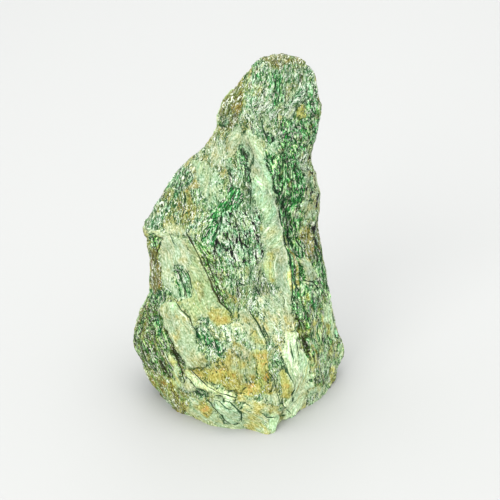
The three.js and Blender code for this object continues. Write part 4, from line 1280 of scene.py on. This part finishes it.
# %% Darken the hollows, the gaps and the specks
def darkened_colour(tree, given, rock, colour, ink):
    """The colour with painted shade in the hollows and the gaps, and with black specks."""
    # Painted shade in the hollows: dark green, then black, the deeper a point lies.
    broken = maths(tree, "SUBTRACT", given["Hollow"], times(tree, given["Tone"], 0.3))
    colour = blend(tree, times(tree, between(tree, broken, -0.02, 0.25), 0.8), colour, ink)
    colour = blend(tree, times(tree, between(tree, broken, 0.2, 0.6), 0.8), colour, solid(BLACK))
    # Painted shade in the traced gaps, from ink green to black where specks are many, broken by noise.
    whole = maths(tree, "MAXIMUM", between(tree, rock.wander, 0.22, 0.42), given["Specks"], True)
    gap = times(tree, given["Gap"], whole)
    blackness = weighted(tree, [(given["Specks"], 0.8), (1, 0.25)])
    dark = blend(tree, blackness, ink, solid(BLACK))
    colour = blend(tree, times(tree, gap, 0.95), colour, dark)
    black = times(tree, given["Speck"], between(tree, given["Specks"], 0.1, 0.9))
    return blend(tree, black, colour, solid(BLACK))


# %% Put the rock's colour together
def rock_colour():
    """Firm says how much of mica a place has, and Shine how smooth its flakes lie."""
    numbers = PATTERNS + ("Specks", "Glints", "Bright", "Hollow", "Gap", "Crest")
    inputs = {**{name: "Float" for name in numbers}, "Fabric": "Vector", "Place": "Vector",
              "Marks": "Color", "Tints": "Color"}
    outputs = {"Color": "Color", "Firm": "Float", "Shine": "Float"}
    tree, given, result = new_group("rock colour", inputs, outputs)
    rock = kinds_of_rock(tree, given)
    olive = between(tree, rock.tints[0], 0.3, 0.8)
    ink = blend(tree, olive, solid(INK_GREEN), solid(INK_OLIVE))
    colour = laid_colour(tree, given, rock)
    colour = tinted_colour(tree, given, rock, colour)
    colour = flecked_colour(tree, given, rock, colour, ink)
    colour = darkened_colour(tree, given, rock, colour, ink)
    tree.links.new(colour, result["Color"])
    tree.links.new(rock.firm, result["Firm"])
    matt = rest(tree, times(tree, rock.deep, 0.85))
    tree.links.new(times(tree, rock.firm, matt), result["Shine"])
    return tree


# %% [markdown]
# A flake glints when it happens to mirror a lamp. Every flake has a random colour of its own, so that
# colour serves as a direction by which its normal leans. Real facets in the net would need millions
# of triangles.

# %% The turned flakes
def flake_tilt():
    """The normal leaned by the flake's own colour, which is as good as a random direction."""
    inputs = {"Facet": "Color", "Amount": "Float", "Normal": "Vector"}
    tree, given, result = new_group("flake tilt", inputs, {"Normal": "Vector"})
    centred = add(tree, "VectorMath", {0: given["Facet"]}, {"operation": "SUBTRACT"})
    centred.inputs[1].default_value = (0.5, 0.5, 0.5)
    turn = {0: centred.outputs[0], "Scale": given["Amount"]}
    turned = add(tree, "VectorMath", turn, {"operation": "SCALE"})
    both = {0: turned.outputs[0], 1: given["Normal"]}
    total = add(tree, "VectorMath", both, {"operation": "ADD"})
    final = add(tree, "VectorMath", {0: total.outputs[0]}, {"operation": "NORMALIZE"})
    tree.links.new(final.outputs[0], result["Normal"])
    return tree


# %% [markdown]
# The material joins the groups. Each flake has its own roughness, and firm mica is glossier than pale
# rock and than the deep green, so some flakes mirror the window and their neighbours stay dull. The
# bump carries only what is finer than the net's squares.

# %% Put the groups together in the rock's material
def use(tree, group, links):
    node = tree.nodes.new("ShaderNodeGroup")
    node.node_tree = group
    for key, source in links.items():
        tree.links.new(source, node.inputs[key])
    return node


BUMP_DEPTH = 0.5 * MM


def broken_rock():
    material = bpy.data.materials.new("broken fuchsite")
    material.use_nodes = True
    tree = material.node_tree
    shader = tree.nodes["Principled BSDF"]
    fabric_in, marks, tints, shade_and_glints, lines = (
        add(tree, "Attribute", settings={"attribute_name": name})
        for name in ("fabric", "marks", "tints", "shade_and_glints", "lines"))
    place = add(tree, "TexCoord").outputs["Object"]
    mica = use(tree, mica_patterns(), {"Fabric": fabric_in.outputs["Vector"]})
    # Depth in a hollow, for painted shade, and the share of painted glints.
    shade_and_glint_parts = add(tree, "SeparateColor", {"Color": shade_and_glints.outputs["Color"]})
    measured = add(tree, "SeparateColor", {"Color": lines.outputs["Color"]})
    line_group = drawn_line()
    gap = use(tree, line_group, {"Distance": measured.outputs[0], "Close": measured.outputs[1]})
    crest_line = use(tree, line_group, {"Distance": measured.outputs[2], "Close": lines.outputs["Alpha"]})
    patterns = {name: mica.outputs[name] for name in PATTERNS}
    colour = use(tree, rock_colour(), {
        **patterns, "Fabric": fabric_in.outputs["Vector"], "Place": place,
        "Marks": marks.outputs["Color"], "Specks": marks.outputs["Alpha"],
        "Tints": tints.outputs["Color"], "Bright": tints.outputs["Alpha"],
        "Hollow": shade_and_glint_parts.outputs[0], "Glints": shade_and_glint_parts.outputs[1],
        "Gap": gap.outputs["Line"], "Crest": crest_line.outputs["Line"]})
    level = weighted(tree, [(patterns["Tone"], 0.5), (patterns["Fleck"], 2), (patterns["Thread"], -2),
                            (patterns["Line"], -0.6), (gap.outputs["Line"], -1.5)])
    strength = weighted(tree, [(colour.outputs["Firm"], 0.65), (1, 0.07)])
    height = times(tree, level, strength)
    bump = add(tree, "Bump", {"Height": height}, Strength=1, Distance=BUMP_DEPTH)
    amount = times(tree, colour.outputs["Firm"], 0.5)
    tilt = use(tree, flake_tilt(), {
        "Facet": mica.outputs["Facet"], "Normal": bump.outputs[0], "Amount": amount})
    tree.links.new(colour.outputs["Color"], shader.inputs["Base Color"])
    parts = add(tree, "SeparateColor", {"Color": mica.outputs["Facet"]})
    rough = weighted(tree, [(parts.outputs[1], 0.4), (colour.outputs["Shine"], -0.3), (1, 0.55)])
    tree.links.new(rough, shader.inputs["Roughness"])
    shader.inputs["Specular IOR Level"].default_value = 0.2
    tree.links.new(tilt.outputs["Normal"], shader.inputs["Normal"])
    return material


# %% [markdown]
# ## The finish of the sawn face
# A saw cuts straight through the layers, so the face shows them as wavy bands, and its round blade
# leaves faint arcs. The bands read Object coordinates, because the big flat face has no points inside
# that could carry an attribute. The arcs are rings around a far point, and only the bump shows them.

# %% Make the sawn face's material
SAW_CENTRE = (-0.16, 0.11, 0)
SAW_STEP = 2.2 * MM
SAW_DEPTH = 0.1 * MM


def sawn_rock():
    material = bpy.data.materials.new("sawn fuchsite")
    material.use_nodes = True
    tree = material.node_tree
    shader = tree.nodes["Principled BSDF"]
    place = add(tree, "TexCoord").outputs["Object"]
    layers = grain(tree, place, (45, 260, 100), 4, 0.6, 0.8)
    colour = tone_scale(tree, between(tree, layers, 0.3, 0.7), MINT)
    streak = grain(tree, place, (70, 620, 100), 3, 0.6, 0.6)
    colour = blend(tree, between(tree, streak, 0.52, 0.6), colour, tone_scale(tree, layers, DEEP))
    stain = grain(tree, place, (60, 60, 60), 4, 0.65)
    colour = blend(tree, between(tree, stain, 0.56, 0.68), colour, tone_scale(tree, layers, RUST))
    flecks = grain(tree, place, (900, 1500, 900), 1)
    colour = blend(tree, between(tree, flecks, 0.64, 0.68), colour, solid(INK_GREEN))
    tree.links.new(colour, shader.inputs["Base Color"])
    offset = add(tree, "VectorMath", {0: place}, {"operation": "SUBTRACT"})
    offset.inputs[1].default_value = SAW_CENTRE
    radius = add(tree, "VectorMath", {0: offset.outputs[0]}, {"operation": "LENGTH"}).outputs["Value"]
    rings = maths(tree, "SINE", times(tree, radius, 2 * math.pi / SAW_STEP))
    level = weighted(tree, [(rings, 0.25), (grain(tree, place, (2400, 2400, 2400), 2), 0.6)])
    bump = add(tree, "Bump", {"Height": level}, Strength=0.3, Distance=SAW_DEPTH)
    tree.links.new(bump.outputs[0], shader.inputs["Normal"])
    rough = maths(tree, "ADD", times(tree, streak, 0.3), 0.3)
    tree.links.new(rough, shader.inputs["Roughness"])
    return material


# %% [markdown]
# ## Sawing the foot
# The stub comes off with one flat cut, which leaves the sharp rim of the real sawn face. Flattening
# the lowest points instead would leave a soft, wavy rim.

# %% Saw the foot flat and finish the piece
def saw_foot(mesh):
    bm = bmesh.new()
    bm.from_mesh(mesh)
    everything = list(bm.verts) + list(bm.edges) + list(bm.faces)
    cut = bmesh.ops.bisect_plane(bm, geom=everything, plane_co=(0, 0, 0), plane_no=(0, 0, 1),
                                 clear_inner=True)
    rim = [item for item in cut["geom_cut"] if isinstance(item, bmesh.types.BMEdge)]
    for face in bm.faces:
        face.smooth = True
    sawn_faces = bmesh.ops.contextual_create(bm, geom=rim)["faces"]
    print("the cut leaves", len(sawn_faces), "flat face with", len(rim), "edges")
    for sawn in sawn_faces:
        sawn.smooth = False
        sawn.material_index = 1
    for edge in rim:
        edge.smooth = False
    bmesh.ops.recalc_face_normals(bm, faces=bm.faces)
    bm.to_mesh(mesh)
    bm.free()


saw_foot(net)
rock = bpy.data.objects.new("rough_stone", net)
scene.collection.objects.link(rock)
net.materials.append(broken_rock())
net.materials.append(sawn_rock())
print("the stone has", len(net.polygons), "faces and", len(net.materials), "finishes")
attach(rock, "root")
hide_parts("stone")
